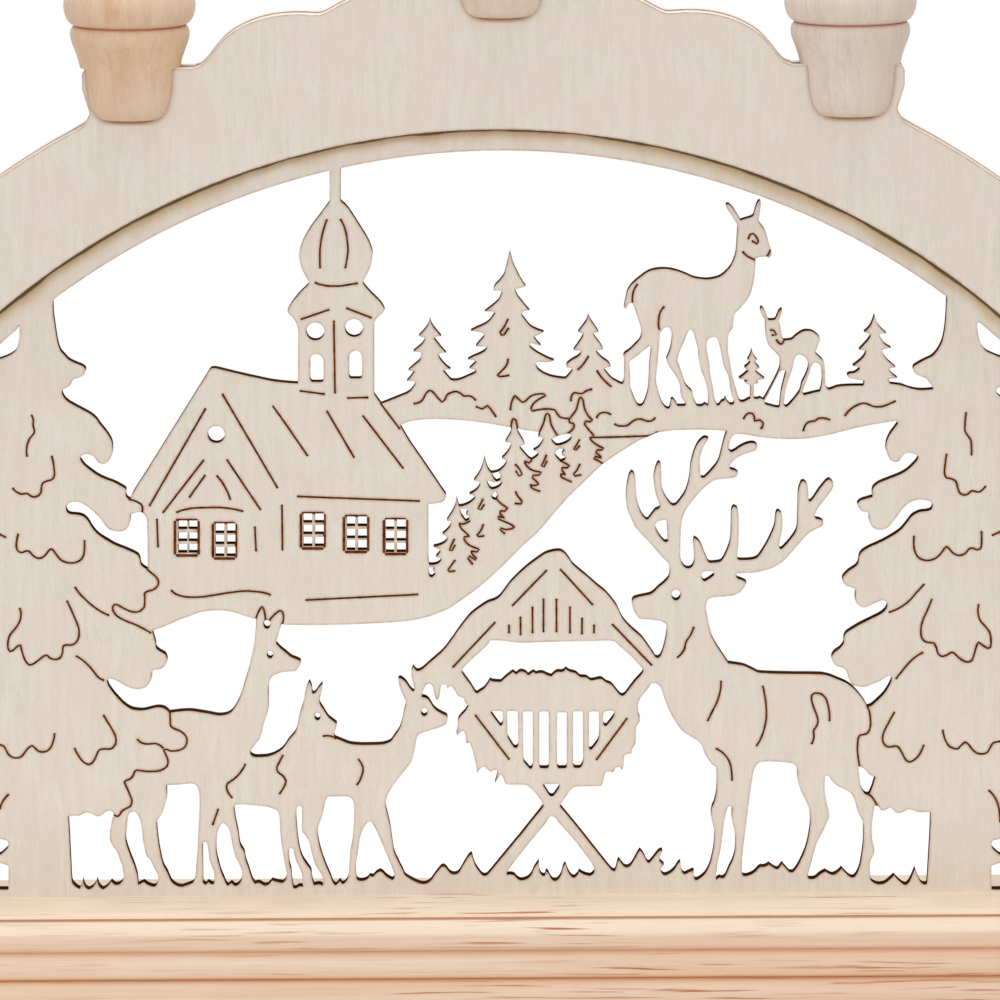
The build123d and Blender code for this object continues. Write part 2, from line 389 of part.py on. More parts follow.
        (495, 286), (500, 280.5), (504, 275), (506, 268), (508, 260), (510, 251.8), (511.5, 258),
        (514, 266), (517.5, 273), (521, 280), (525.5, 286.3), (520, 288.2), (515, 288.8),
        (515.5, 291.5), (518, 297), (522, 302), (526, 307), (529.5, 310.7), (524, 311), (521.5, 313),
        (522, 316), (525, 320), (530, 326), (536, 329.5), (543.7, 332.2), (539, 334.5), (533.5, 337),
        (537, 342), (540.7, 345.7), (535, 344), (530.5, 343), (529.5, 346), (533, 350), (540, 354.5),
        (548, 358.5), (554, 360.7), (547, 362.2), (540, 361.8), (536, 362.8), (536, 366), (538, 369.5),
        (543, 373.3), (550, 376.3), (558, 378), (565.5, 378.7), (570, 374), (572.5, 370), (572, 368.2),
        (566.5, 367.2), (567.5, 363.5), (574, 359), (579, 356), (581, 352.5), (580, 350.5),
        (573.7, 350.2), (578, 344), (582, 338), (583.5, 333.5), (578.2, 332.2), (583, 326),
        (586.5, 321), (588.5, 315), (590, 319.5), (593, 324), (598.5, 332.2), (593.5, 332.8),
        (593.5, 335), (596, 339), (600, 344), (603, 349.8), (598, 350), (595.8, 351.5), (599, 355.5),
        (603, 359), (608, 362.5), (610.7, 367.2), (606.5, 367.5), (604, 369.5), (607, 373.5),
        (612, 379), (617, 381.8), (621.5, 384.2), (623.5, 382.5), (624.3, 378), (624.3, 360),
        (623.5, 356), (625, 353.5), (630, 350), (635, 345), (640, 339.5), (641.5, 333), (640, 325),
        (637, 316), (634.5, 308), (632.5, 303.5), (630, 303), (628, 305), (625.7, 309), (624, 307.5),
        (625.5, 300), (627, 293), (629, 288.5), (633, 283.5), (640, 277.5), (648, 272), (656, 269.5),
        (665, 269), (675, 270.5), (685, 274), (693, 277.5), (700, 279), (708, 279.5), (718, 277.5),
        (725, 273), (731, 266), (735, 257), (736.5, 248), (737, 238), (737.7, 226), (735, 221),
        (730, 213), (726.5, 207.5), (726.3, 204.5), (728, 204), (732, 207), (736, 213), (740.5, 220.5),
        (745, 219), (750, 217.5), (753.5, 215.5), (755, 210), (757, 204), (759.5, 200.5), (760.7, 202),
        (760.5, 207), (759.5, 214), (758.5, 220), (760, 224), (765, 231), (768, 240), (770.5, 249),
        (771.8, 253), (770.5, 256.5), (768.5, 258), (766.5, 256.7), (760, 257), (755.5, 258.5),
        (755.5, 263), (755, 272), (753.5, 282), (751, 292), (747, 300), (741, 307.5), (735, 313.5),
        (733.5, 320), (732.5, 328), (729, 333), (728, 339), (728, 352), (730, 362), (732, 375),
        (735, 386), (739, 400), (741.5, 402), (745, 401.3), (748, 399.5), (750.3, 398.7), (750.5, 385),
        (748, 384.5), (744.5, 382), (748, 380.3), (739, 378.7), (744, 375), (748.5, 371),
        (744.5, 367.7), (748, 365), (750.5, 361.5), (747.5, 360), (750, 356), (752, 350), (754, 356),
        (757.2, 360.2), (754, 361.5), (756, 364.5), (759.5, 368), (755, 371), (759.5, 375),
        (764.5, 378.7), (756.5, 380.3), (758, 383), (753.8, 384.5), (753.8, 398.5), (757, 399),
        (760, 398), (763.5, 399.8), (766, 396), (770, 388.5), (775, 379), (779.5, 369), (780.2, 362),
        (779, 356.5), (775, 352), (771, 348), (768, 344), (766.5, 339), (765.5, 330), (765, 320.5),
        (762.5, 316), (760.5, 312), (760.5, 308), (762, 307.5), (765, 312), (768, 319.8), (771, 320.3),
        (775.5, 319.5), (777.5, 315), (779, 311.5), (782, 309), (782, 311), (780.5, 316), (779, 321),
        (780.5, 327), (781.5, 334), (783.5, 340.5), (788, 340.3), (792, 339.5), (796, 336),
        (801, 332.5), (805, 331), (811, 331.3), (816, 334), (819.5, 337.5), (820, 340.5), (818.3, 344),
        (817, 348), (815, 352), (817.5, 355.5), (822, 359.5), (824.3, 364), (825, 372), (825.3, 380),
        (826, 386.5), (828.5, 389.8), (832, 389), (837, 387), (845, 386), (855, 385.7), (863.5, 385.7),
        (864.5, 380.8), (857, 379.5), (850, 378.2), (847.3, 375.5), (849.5, 373.7), (855, 372.8),
        (860, 368.5), (858.5, 366.7), (853, 366.2), (858, 362.5), (862, 359), (865, 355), (866, 350.5),
        (859.3, 350), (864, 345), (868, 340.5), (870.5, 336.5), (870, 334), (864.3, 332.3), (869, 328),
        (872, 323), (874.7, 315), (877, 322.5), (880, 327.5), (886.5, 333.5), (880.5, 333.7),
        (879.5, 336.5), (882, 340.5), (885, 344.5), (891, 348), (885, 348.8), (882, 350.5),
        (883.5, 355), (887, 360), (891, 363.5), (895.7, 367.5), (890.5, 368), (889, 369.5), (892, 374),
        (897.5, 378.2), (891, 378.7), (888, 380), (890.5, 384), (896, 384.5), (902, 385.5), (909, 388),
        (917, 389.8), (925, 390), (933.3, 389.3), (932, 386), (929, 382), (926, 378.5), (920, 376),
        (915.5, 373.5), (913.3, 370), (914, 366.3), (920, 362.5), (927, 359), (932, 356.5),
        (936.5, 352), (940, 346.5), (943, 339), (945, 328), (946.3, 314), (947, 296.5)],
    "doe_back_hind_legs": [(650, 345.5), (651, 348), (650.5, 355), (649.5, 365), (649, 378), (648, 390),
        (645.5, 399), (643, 404.5), (640, 406), (637, 404.5), (633.5, 397), (630.5, 388), (630, 375),
        (629.5, 364), (630, 361), (632, 359.5), (637, 356), (643, 351), (648, 347)],
    "doe_back_gap": [(660, 332), (661.5, 331.5), (663, 329), (666, 327.5), (669, 327.5), (671, 331),
        (672, 338), (671, 346), (669.5, 352), (667.5, 357), (666.5, 360), (669, 366), (674, 373),
        (678, 380), (680.5, 388), (681, 396), (683, 400), (686, 403.5), (685, 406), (677.5, 406),
        (675, 401.5), (672.5, 398.8), (671, 399.8), (670.5, 405), (669, 408.7), (666, 408),
        (662.5, 404), (660, 398), (657.5, 389), (656, 380), (657, 368), (658.5, 352), (659.5, 340)],
    "doe_back_belly": [(690, 329.5), (693, 332), (695.5, 340), (698, 350), (699, 360), (701, 370),
        (705, 380), (707.5, 390), (708.5, 400), (708, 406), (704.5, 404), (702, 406), (697, 406),
        (694, 400), (692, 392), (688.5, 388.5), (685, 384), (682, 375), (678.5, 365), (677.5, 360),
        (679.5, 352), (684, 342), (687.5, 333)],
    "doe_back_front_legs": [(714, 337), (717, 338.5), (719.5, 345), (721.5, 355), (724, 367),
        (728, 375), (730, 385), (731.5, 395), (734, 400), (733.5, 404.3), (730, 404.7), (727, 401),
        (725.5, 397.5), (724, 401), (721.5, 401.8), (719.5, 404.8), (717, 405.7), (714.5, 399),
        (713, 388), (710.5, 375), (709, 362), (707, 350), (707, 342), (710, 338)],
    "calf_front_gap": [(784.5, 370), (786, 372), (784, 380), (781.5, 390), (780.5, 398), (779.5, 407),
        (777, 407.5), (771, 406), (765.5, 404.5), (764.5, 401.5), (769, 393), (775, 381), (780, 372)],
    "calf_belly": [(794.5, 359), (797, 355), (800, 354.5), (804, 356.5), (807.5, 361), (808.5, 367),
        (806, 375), (802, 383), (800, 391), (797, 395.5), (793.5, 400), (788.5, 405.5), (786, 407),
        (784, 404.5), (784.5, 398), (786, 388), (789.5, 377), (792.5, 368)],
    "calf_hind_gap": [(815.5, 362.3), (819, 364), (821.5, 369), (822.3, 378), (821.5, 386),
        (820, 391.5), (813, 393), (804, 395.3), (802.3, 392.5), (804, 387), (807.5, 379), (810, 371),
        (812, 365)],
    "stag_sky": [(736, 434), (745, 434.5), (760, 437), (775, 438.5), (795, 439), (810, 438), (828, 435),
        (840, 432), (860, 427), (880, 423.3), (890, 421.7), (897, 420.8), (898, 423.5), (894, 429),
        (890, 434.5), (887, 441), (886, 447), (887, 453), (890, 459.5), (894, 461.8), (898.5, 461.3),
        (902, 457), (905, 453.8), (910, 453), (915, 454.3), (918.5, 456.5), (917, 460.5), (912, 466),
        (907, 470.5), (900, 474.5), (890, 478.5), (880, 482.5), (875, 486), (872.5, 490),
        (872.7, 496.8), (867, 498.5), (861, 500.5), (857.5, 504), (859, 508), (862.5, 511.2),
        (867, 511.7), (869, 515.5), (869.5, 521.5), (872, 526.5), (876, 529.2), (881, 529.8),
        (887, 528), (892, 523), (897, 516.5), (902, 509.5), (907, 504.5), (912, 501.3), (918, 499.8),
        (925, 500), (930, 501.5), (932.5, 505.5), (931.5, 509.5), (928, 511), (920, 512), (913, 515.5),
        (909, 520), (904, 526.5), (899.5, 531), (893, 535.5), (885, 540), (877, 544), (870, 547),
        (862.5, 551.5), (859.5, 556), (858.3, 563), (855, 567), (849, 571), (843.5, 576.5),
        (842.5, 580.5), (846, 585.5), (850, 587), (854.5, 588.5), (855.7, 592), (855.3, 600),
        (858, 604.5), (862, 607.3), (866.5, 607), (873, 604), (880, 601), (884, 600.5), (887, 603),
        (887.3, 606.5), (885, 610.5), (880, 614.5), (870, 619.5), (860, 624.5), (851.5, 629.5),
        (846, 633.5), (844, 638), (843.7, 643.5), (840, 648.5), (835, 652), (832, 656.5), (832.5, 661),
        (836, 665.5), (840, 667), (844, 668.5), (847, 672.5), (849, 679), (852.5, 685), (860, 686.8),
        (866, 686.5), (873, 684), (881, 680.5), (887, 676.5), (890.5, 676), (891.8, 679.5),
        (889.5, 685.5), (884, 694), (876, 702), (871, 706), (867.3, 707), (862.5, 699), (857, 692),
        (852, 687), (846, 683), (838, 679.5), (829, 676), (819, 674.3), (790, 674), (760, 673),
        (752, 669.5), (744, 666), (735, 664.3), (728.5, 663.5), (726, 660), (719, 649.5), (713, 639.5),
        (710.5, 632), (708, 620), (706, 610), (706.5, 603.5), (709, 598.5), (714, 597.2), (730, 596),
        (738, 593.5), (742.5, 589.5), (746.5, 582.5), (742, 580), (737.5, 578.5), (735.8, 575.5),
        (736.5, 573.5), (741, 573), (752, 572.8), (762, 571), (772, 568), (782, 562), (790, 554),
        (800, 542.5), (808, 534), (815, 529.5), (821, 526.5), (823.5, 524), (822.5, 521),
        (819.5, 519.5), (815.8, 518.8), (814.7, 515), (818, 508), (825, 499), (831, 491),
        (833.5, 485.5), (832, 481.5), (829, 479.5), (825.5, 482), (819, 490), (813, 499), (810, 501.8),
        (808.5, 500.5), (808, 488), (806.5, 483.5), (803.5, 481.2), (801, 483), (798.5, 491),
        (798, 505), (797.5, 520), (796.5, 530), (791, 539), (784, 547), (780.5, 549.5), (779, 545),
        (780.5, 537), (782.3, 528), (782.3, 518), (781, 513), (777.5, 511), (775.8, 515), (774.5, 526),
        (771, 535), (766, 545), (760, 554.5), (756, 558.5), (748, 560), (738.5, 560), (737, 557),
        (738.3, 545), (738.8, 530), (738.5, 514), (737, 508), (734, 506.5), (731.5, 511), (731, 530),
        (730.3, 541), (727, 551), (723, 559), (720, 561.8), (711, 563), (708, 561.5), (705, 555),
        (701.5, 546), (698.5, 541), (694, 538), (693.5, 545), (694.5, 560), (692, 567), (688.5, 568.5),
        (685, 567.5), (681.5, 563), (680.3, 556), (680.8, 530), (682, 520), (685, 511.5), (690, 504),
        (697, 495), (706, 486), (714, 480.5), (722, 479), (732, 478), (737, 476), (738, 473),
        (735, 470.5), (730.5, 469.3), (729.5, 467.5), (732.5, 461.5), (740, 456), (750, 452.5),
        (756, 450), (757.3, 446), (754.5, 443.3), (749, 443.3), (742, 446), (735, 450.5), (731, 452.3),
        (728.8, 450), (729.3, 443), (732, 437)],
    "antler_gap": [(655, 526), (657, 522), (661, 520.5), (665.5, 520), (667, 523), (667.5, 533),
        (668, 541.5), (665, 542), (661, 538), (657, 532)],
    "ear_gap": [(701.5, 574), (703, 572), (708, 571.3), (713, 571.3), (714.3, 575), (709, 579),
        (704.5, 581.5), (702, 579)],
}

# Round holes: centre and radius
HOLES_PX = {
    "gable_hole": (216.2, 434.5, 8.6), "tower_hole_left": (315.3, 331.5, 9),
    "tower_hole_right": (354, 328, 9),
    "doe_ear_hole": (267, 624.5, 3.2), "doe_eye": (270, 654.5, 2.8), "fawn_eye": (317.5, 716.5, 2.8),
    "kid_eye": (424.3, 712, 3), "stag_eye": (676, 595, 4.3)}

# Panes of the five windows: the edges across of both columns, and up of the three rows
WINDOW_PANES_PX = (
    ((178.5, 187, 189, 197), (522, 528, 533.5, 540, 545, 551.5)),
    ((215.5, 224, 227, 235), (525, 532, 536, 543, 548, 555)),
    ((303.5, 312, 315, 323.5), (515, 521.5, 526, 533, 538, 545)),
    ((347, 355, 358, 366.5), (518, 525, 530, 537, 541, 549)),
    ((386, 394, 397, 405.5), (521, 528, 532, 539.5, 544, 551)))

# Beyond the photograph's border: the trees' outer halves, the hills and the fields, all guessed
UPPER_LEFT_PX = [(15, 326), (18, 325), (19.5, 328), (19, 340), (16, 350), (10, 355), (0, 359),
    (-8, 361), (-14, 362.5)]
UPPER_RIGHT_PX = [(983, 325), (979, 322), (977, 324.5), (977.5, 329), (979, 338), (981.5, 345),
    (985, 350), (990, 353), (1000, 357), (1009, 359), (1016, 361)]
SKY_LEFT_HEAD_PX = [(-40, 381), (-30, 383), (-22, 386), (-14, 390), (-13, 395), (-20, 402)]
SKY_RIGHT_HEAD_PX = [(1040, 381), (1030, 383), (1015, 384), (1003, 386), (997, 388.5), (996, 392),
    (1000, 396.5), (1012, 403)]
OUTER_TREE_PX = [(-32, 410), (-46, 419), (-56, 431), (-62, 443), (-61, 456), (-54, 464), (-47, 461),
    (-40, 454), (-32, 455), (-31, 461), (-42, 471), (-55, 479), (-70, 485), (-76, 491), (-78, 498),
    (-88, 502), (-92, 508), (-88, 513), (-78, 514), (-80, 524), (-74, 531), (-64, 531), (-54, 528),
    (-46, 517), (-36, 507), (-24, 502), (-17, 505), (-18, 512), (-30, 515), (-38, 521), (-46, 533),
    (-62, 543), (-80, 551), (-90, 560), (-95, 569), (-106, 578), (-108, 586), (-100, 591), (-94, 594),
    (-95, 605), (-90, 611), (-78, 610), (-66, 604.5), (-62, 611), (-72, 619), (-88, 627), (-101, 633),
    (-105, 643), (-112, 652), (-117, 660), (-112, 667), (-102, 671), (-100, 681), (-93, 688),
    (-80, 687), (-66, 680), (-57, 680), (-60, 689), (-70, 700), (-82, 709), (-95, 710), (-107, 708),
    (-117, 713), (-120, 725), (-132, 731), (-137, 741), (-148, 742)]
OUTER_HILL_PX = [(-196, 748), (-215, 753), (-234, 760)]
OUTER_FIR_PX = (-172, 742, 92, 21)
OUTER_FIR_STEPS = 4
FIR_NOTCH_RISE_SHARE = 0.7
FIR_NOTCH_WIDTH_SHARE = 0.5
OUTER_FIELD_PX = [(-222, 778), (-200, 769), (-175, 763), (-150, 762), (-124, 764), (-110, 769),
    (-104, 780), (-106, 800), (-112, 840), (-114, 870), (-118, 884), (-124, 870), (-129, 884),
    (-136, 888), (-142, 872), (-148, 886), (-160, 889), (-166, 874), (-172, 888), (-190, 889),
    (-203, 886), (-210, 870), (-217, 884), (-230, 887), (-237, 862), (-237, 822), (-231, 792)]
OUTER_BUSH_PX = [(8.5, 889.5), (8.5, 866), (0, 863), (-6, 862), (-10, 858.5), (-6, 856), (0, 855),
    (7, 849), (8.5, 845), (7, 840.5), (0, 839), (-15, 836), (-30, 840), (-46, 834), (-62, 838),
    (-76, 833), (-86, 840), (-88, 860), (-90, 876), (-84, 888), (-78, 874), (-70, 888), (-58, 889),
    (-52, 876), (-45, 888), (-30, 889.5), (-24, 878), (-16, 888.5), (0, 889.5)]

# Left half of the scalloped top edge of the arch plates, from the first tab to the middle one. Its
# upper end lies beyond the photograph's border and is guessed.
SCALLOP_PX = [(196, 67.5), (200, 66.2), (204, 63), (208, 58.5), (212, 53), (217, 46.9), (222, 41),
    (228, 35.4), (235, 30.5), (243, 26), (252, 22), (262, 18.8), (271, 16.7), (280, 15.3), (290, 14.5),
    (300, 14.3), (310, 14.8), (318, 15), (323, 13.8), (329, 11), (335, 7.6), (342, 3.8), (350, 0),
    (360, -5), (372, -11), (388, -18), (405, -24), (425, -29), (442, -32)]
MIDDLE_FLAT_HALF = 13.0

# Sections of the turned cup, from the tail up: shares of the radius and of the height, where the
# tail is -1 of its own length and the rim is 1 of the height above the flat
CUP_TAIL_SHARES = [(0.0, -1.0), (0.5, -1.0), (0.6, -0.955), (0.67, -0.84), (0.71, -0.68),
    (0.735, -0.48), (0.75, -0.26), (0.765, 0.0)]
CUP_BODY_SHARES = [(0.765, 0.0), (0.785, 0.08), (0.83, 0.19), (0.877, 0.29), (0.905, 0.38),
    (0.895, 0.45), (0.84, 0.505)]
CUP_BEAD_SHARES = [(0.84, 0.505), (0.93, 0.555), (0.98, 0.635), (1.0, 0.73), (0.985, 0.83),
    (0.93, 0.915), (0.86, 0.965)]
CUP_RIM_SHARE = (0.74, 1.0)

# Outline of the flame-shaped glass above its neck: shares of the bulge radius and of the height
GLASS_SHARES = [(0.92, 0.16), (1.0, 0.32), (0.93, 0.5), (0.7, 0.7), (0.4, 0.87)]
GLASS_TIP_SHARE = (0.14, 0.985)
GLASS_NECK_SHARE = 0.06


def flat_place(px, py, nearer=0.0):
    """Place across and up, on a plane so much nearer than the panel's front, of a picked point."""
    picked_across = px - PHOTO_MIDDLE_PX
    picked_up = PHOTO_MIDDLE_PX - py
    across = picked_across * math.cos(VIEW_ROLL) + picked_up * math.sin(VIEW_ROLL)
    up = picked_up * math.cos(VIEW_ROLL) - picked_across * math.sin(VIEW_ROLL)
    sight = VIEW_DISTANCE_PX * math.cos(VIEW_TILT)
    rise = VIEW_DISTANCE_PX * math.sin(VIEW_TILT)
    reach = (sight - nearer / MM_PER_PX) / (sight + up * math.sin(VIEW_TILT))
    height = rise + reach * (up * math.cos(VIEW_TILT) - rise)
    return reach * across * MM_PER_PX, height * MM_PER_PX


BASE_LINE = flat_place(PHOTO_MIDDLE_PX, BASE_LINE_PX)[1]


def panel_point(picked, nearer=0.0):
    """A picked point as a vector in the plates' plane, where Y of the sketch is up."""
    across, height = flat_place(picked[0], picked[1], nearer)
    return Vector(across, BASE_TOP + height - BASE_LINE)


def mirrored(points):
    """Picked points, turned over about the photograph's middle."""
    return [(2 * PHOTO_MIDDLE_PX - px, py) for px, py in points]


def on_opening(point):
    """The same point, moved in or out to the circle of the opening."""
    centre = Vector(0, ARCH_CENTRE)
    return centre + (point - centre).normalized() * OPENING_RADIUS


def opening_arc(start, end):
    """The arc of the opening's circle from one point on it to another."""
    centre = Vector(0, ARCH_CENTRE)
    middle = centre + ((start + end) * 0.5 - centre).normalized() * OPENING_RADIUS
    return ThreePointArc(start, middle, end).edge()


def border_opening(picked):
    """An opening whose two ends lie on the opening's circle."""
    points = [panel_point(p) for p in picked]
    points[0] = on_opening(points[0])
    points[-1] = on_opening(points[-1])
    side = Wire.make_polygon(points, close=False)
    return Wire(side.edges() + [opening_arc(points[-1], points[0])])


def fir_outline(across, foot, height, half_width, steps):
    """Zigzag outline of a small fir, from its right foot over the tip to its left foot."""
    right = []
    for step in range(steps):
        width = half_width * (1 - step / steps)
        right.append((across + width, foot - height * step / steps))
        notch_up = foot - height * (step + FIR_NOTCH_RISE_SHARE) / steps
        right.append((across + width * FIR_NOTCH_WIDTH_SHARE, notch_up))
    left = [(2 * across - px, py) for px, py in reversed(right)]
    return right + [(across, foot - height)] + left


def window_panes():
    """The six panes of each church window."""
    panes = []
    for columns, rows in WINDOW_PANES_PX:
        for left, right in (columns[:2], columns[2:]):
            for top, bottom in (rows[:2], rows[2:4], rows[4:]):
                corners = [(left, top), (right, top), (right, bottom), (left, bottom)]
                panes.append(Wire.make_polygon([panel_point(c) for c in corners]))
    return panes


def round_holes():
    """The small round holes: gable, tower and eyes."""
    holes = []
    for px, py, radius_px in HOLES_PX.values():
        centre = panel_point((px, py))
        holes.append(Wire.make_circle(radius_px * MM_PER_PX, Plane((centre.X, centre.Y, 0))))
    return holes


def border_openings():
    """The openings of both outer thirds, beyond the photograph's border."""
    fir = fir_outline(*OUTER_FIR_PX, OUTER_FIR_STEPS)
    slope = OUTER_TREE_PX + fir + OUTER_HILL_PX
    wires = [border_opening(UPPER_LEFT_PX), border_opening(UPPER_RIGHT_PX)]
    wires.append(border_opening(SKY_LEFT_HEAD_PX + slope))
    wires.append(border_opening(SKY_RIGHT_HEAD_PX + mirrored(slope)))
    for points in (OUTER_FIELD_PX, OUTER_BUSH_PX):
        for side in (points, mirrored(points)):
            wires.append(Wire.make_polygon([panel_point(p) for p in side]))
    return wires


def scene_panel():
    """The picture panel: a sheet with an arched top, whose tongue stands in the base's slot."""
    left = Vector(PLATE_SLIP - PANEL_OUTER_RADIUS, ARCH_CENTRE)
    right = Vector(PLATE_SLIP + PANEL_OUTER_RADIUS, ARCH_CENTRE)
    top = Vector(PLATE_SLIP, ARCH_CENTRE + PANEL_OUTER_RADIUS)
    low_left = Vector(left.X, TONGUE_BOTTOM)
    low_right = Vector(right.X, TONGUE_BOTTOM)
    border = Wire([ThreePointArc(left, top, right).edge(), Edge.make_line(right, low_right),
        Edge.make_line(low_right, low_left), Edge.make_line(low_left, left)])
    openings = window_panes() + round_holes() + border_openings()
    for name, picked in OPENINGS_PX.items():
        if name in ("sky_left", "sky_centre"):
            openings.append(border_opening(picked))
        else:
            openings.append(Wire.make_polygon([panel_point(p) for p in picked]))
    return Solid.extrude(Plane.XZ.offset(-PANEL_BACK) * Face(border, openings), Vector(0, -PLY, 0))


def tab(side, place, rise, foot_turn_past):
    """The tab under one cup: its flat, its outer side with a waist, and its foot on the plate's circle."""
    outer = place + TAB_OUTER
    foot_turn = math.atan2(outer, rise) + math.radians(foot_turn_past)
    foot = (PLATE_OUTER_RADIUS * math.sin(foot_turn), PLATE_OUTER_RADIUS * math.cos(foot_turn))
    middle_turn = math.atan2(place, rise)
    inside = (PLATE_INNER_RADIUS + PLATE_OUTER_RADIUS) / 2
    low_outer = (inside * math.sin(foot_turn), inside * math.cos(foot_turn))
    low_inner = (inside * math.sin(middle_turn), inside * math.cos(middle_turn))
    inner = (place - TAB_INNER, rise)
    waist = (outer - TAB_WAIST, rise - TAB_WAIST_DROP)
    corners = [inner, (outer, rise), (outer, rise - TAB_SIDE), waist, foot, low_outer, low_inner]
    shape = make_face(Polyline([(side * x, y) for x, y in corners], close=True))
    outside = [v for v in shape.vertices() if abs(v.X) > place]
    shape = fillet([v for v in outside if -OVERRUN < v.Y - rise < OVERRUN], TAB_CORNER_RADIUS)
    lowest = rise - TAB_WAIST_DROP - OVERRUN
    bends = [v for v in shape.vertices() if abs(v.X) > place and lowest < v.Y < rise - TAB_SIDE + OVERRUN]
    return fillet(bends, TAB_WAIST_RADIUS)


def scalloped_top():
    """The raised middle of the top edge: a scallop on each side of the middle tab."""
    first_place = CUP_PLACES[0] - SCALLOP_START
    first_rise = CUP_FLAT_RISES[0]
    left = [Vector(-first_place, first_rise)]
    for picked in SCALLOP_PX:
        point = panel_point(picked, PLY)
        left.append(Vector(point.X - PLATE_SLIP, point.Y - ARCH_CENTRE))
    left.append(Vector(-MIDDLE_FLAT_HALF, CENTRE_FLAT_RISE))
    right = [Vector(-p.X, p.Y) for p in reversed(left)]
    inside = (PLATE_INNER_RADIUS + PLATE_OUTER_RADIUS) / 2
    turn = math.atan2(CUP_PLACES[0] + TAB_OUTER, first_rise)
    low = Vector(inside * math.sin(turn), inside * math.cos(turn))
    points = left + right + [low, Vector(0, inside), Vector(-low.X, low.Y)]
    return make_face(Polyline(points, close=True))


def plate_sketch():
    """Outline of an arch plate about its own centre, with its feet on the base's top."""
    sketch = Circle(PLATE_OUTER_RADIUS)
    for place, rise in zip(CUP_PLACES, CUP_FLAT_RISES):
        for side in (-1, 1):
            width = TAB_INNER + PLATE_OUTER_RADIUS
            middle = side * (place - TAB_INNER + width / 2)
            sketch -= Pos(middle, rise + NOTCH_HEIGHT / 2) * Rectangle(width, NOTCH_HEIGHT)
    sketch += scalloped_top()
    for place, rise, foot_turn_past in zip(CUP_PLACES, CUP_FLAT_RISES, TAB_FOOT_TURNS):
        for side in (-1, 1):
            sketch += tab(side, place, rise, foot_turn_past)
    sketch -= Circle(PLATE_INNER_RADIUS)
    below = PLATE_OUTER_RADIUS + OVERRUN
    cut = Rectangle(2 * below, below, align=(Align.CENTER, Align.MAX))
    return sketch - Pos(0, -ARCH_CENTRE_RISE) * cut


def arch_plate(sketch, back):
    """One arch plate with its back face at a given depth."""
    return extrude(Plane.XZ.offset(-back) * Pos(PLATE_SLIP, ARCH_CENTRE) * sketch, PLY)


def cup_stations():
    """Number, place across and height of the flat of each cup, from left to right."""
    middle = PLATE_SLIP + CUP_SLIP
    stations = [(middle - place, rise) for place, rise in zip(CUP_PLACES, CUP_FLAT_RISES)]
    stations.reverse()
    stations.append((middle + CENTRE_CUP_PLACE, CENTRE_FLAT_RISE))
    stations += [(middle + place, rise) for place, rise in zip(CUP_PLACES, CUP_FLAT_RISES)]
    return [(i + 1, x, ARCH_CENTRE + rise) for i, (x, rise) in enumerate(stations)]


def scaled(shares, radius, height):
    """Sketch points from shares of a radius and a height."""
    return [(radius * across, height * up) for across, up in shares]


def turned_cup():
    """A cup about the Z axis with its flat at zero: tail, body, groove, bead, bore and slot."""
    tail = scaled(CUP_TAIL_SHARES, CUP_RADIUS, CUP_TAIL)
    body = scaled(CUP_BODY_SHARES, CUP_RADIUS, CUP_HEIGHT)
    bead = scaled(CUP_BEAD_SHARES, CUP_RADIUS, CUP_HEIGHT)
    rim = (CUP_RADIUS * CUP_RIM_SHARE[0], CUP_HEIGHT * CUP_RIM_SHARE[1])
    side = Polyline(tail[:2]) + Spline(tail[1:]) + Spline(body) + Spline(bead)
    top = Polyline([bead[-1], rim, (0, CUP_HEIGHT), tail[0]])
    cup = revolve(Plane.XZ * make_face(side + top), Axis.Z)
    bore = Cylinder(CUP_BORE_RADIUS, CUP_HEIGHT, align=(Align.CENTER, Align.CENTER, Align.MIN))
    cup -= Pos(0, 0, CUP_FLOOR) * bore
    cup -= Cylinder(CUP_WIRE_HOLE_RADIUS, CUP_HEIGHT)
    slot_width = 2 * STACK_HALF + 2 * SLOT_CLEARANCE
    down = (Align.CENTER, Align.CENTER, Align.MAX)
    return cup - Box(2 * CUP_RADIUS, slot_width, CUP_TAIL + OVERRUN, align=down)


def lamp_socket():
    """A plain tube for the lamp's cap, with a thick floor that the wires come up through."""
    up = (Align.CENTER, Align.CENTER, Align.MIN)
    socket = Pos(0, 0, CUP_FLOOR) * Cylinder(SOCKET_RADIUS, SOCKET_HEIGHT, align=up)
    bore = Cylinder(CAP_RADIUS + THREAD_CLEARANCE, SOCKET_HEIGHT, align=up)
    wire_way = Cylinder(LEAD_RADIUS + SOCKET_CLEARANCE, SOCKET_FLOOR / 2, align=up)
    socket -= Pos(0, 0, CUP_FLOOR + SOCKET_FLOOR) * bore
    return socket - Pos(0, 0, CUP_FLOOR) * wire_way


SOCKET_TOP = CUP_FLOOR + SOCKET_HEIGHT
CAP_BOTTOM = CUP_FLOOR + SOCKET_FLOOR + LAMP_GAP
SHAFT_BOTTOM = SOCKET_TOP + LAMP_GAP
SHAFT_TOP = SHAFT_BOTTOM + SHAFT_LENGTH
COLLAR_FLOOR = SHAFT_TOP - SHAFT_COLLAR_HEIGHT


def lamp_cap():
    """The screw cap under the shaft, with its contact tip."""
    up = (Align.CENTER, Align.CENTER, Align.MIN)
    tip = Pos(0, 0, CAP_BOTTOM) * Cylinder(CAP_TIP_RADIUS, CAP_TIP_HEIGHT, align=up)
    shell_bottom = CAP_BOTTOM + CAP_TIP_HEIGHT
    shell = Cylinder(CAP_RADIUS, SHAFT_BOTTOM - shell_bottom, align=up)
    return tip + Pos(0, 0, shell_bottom) * shell


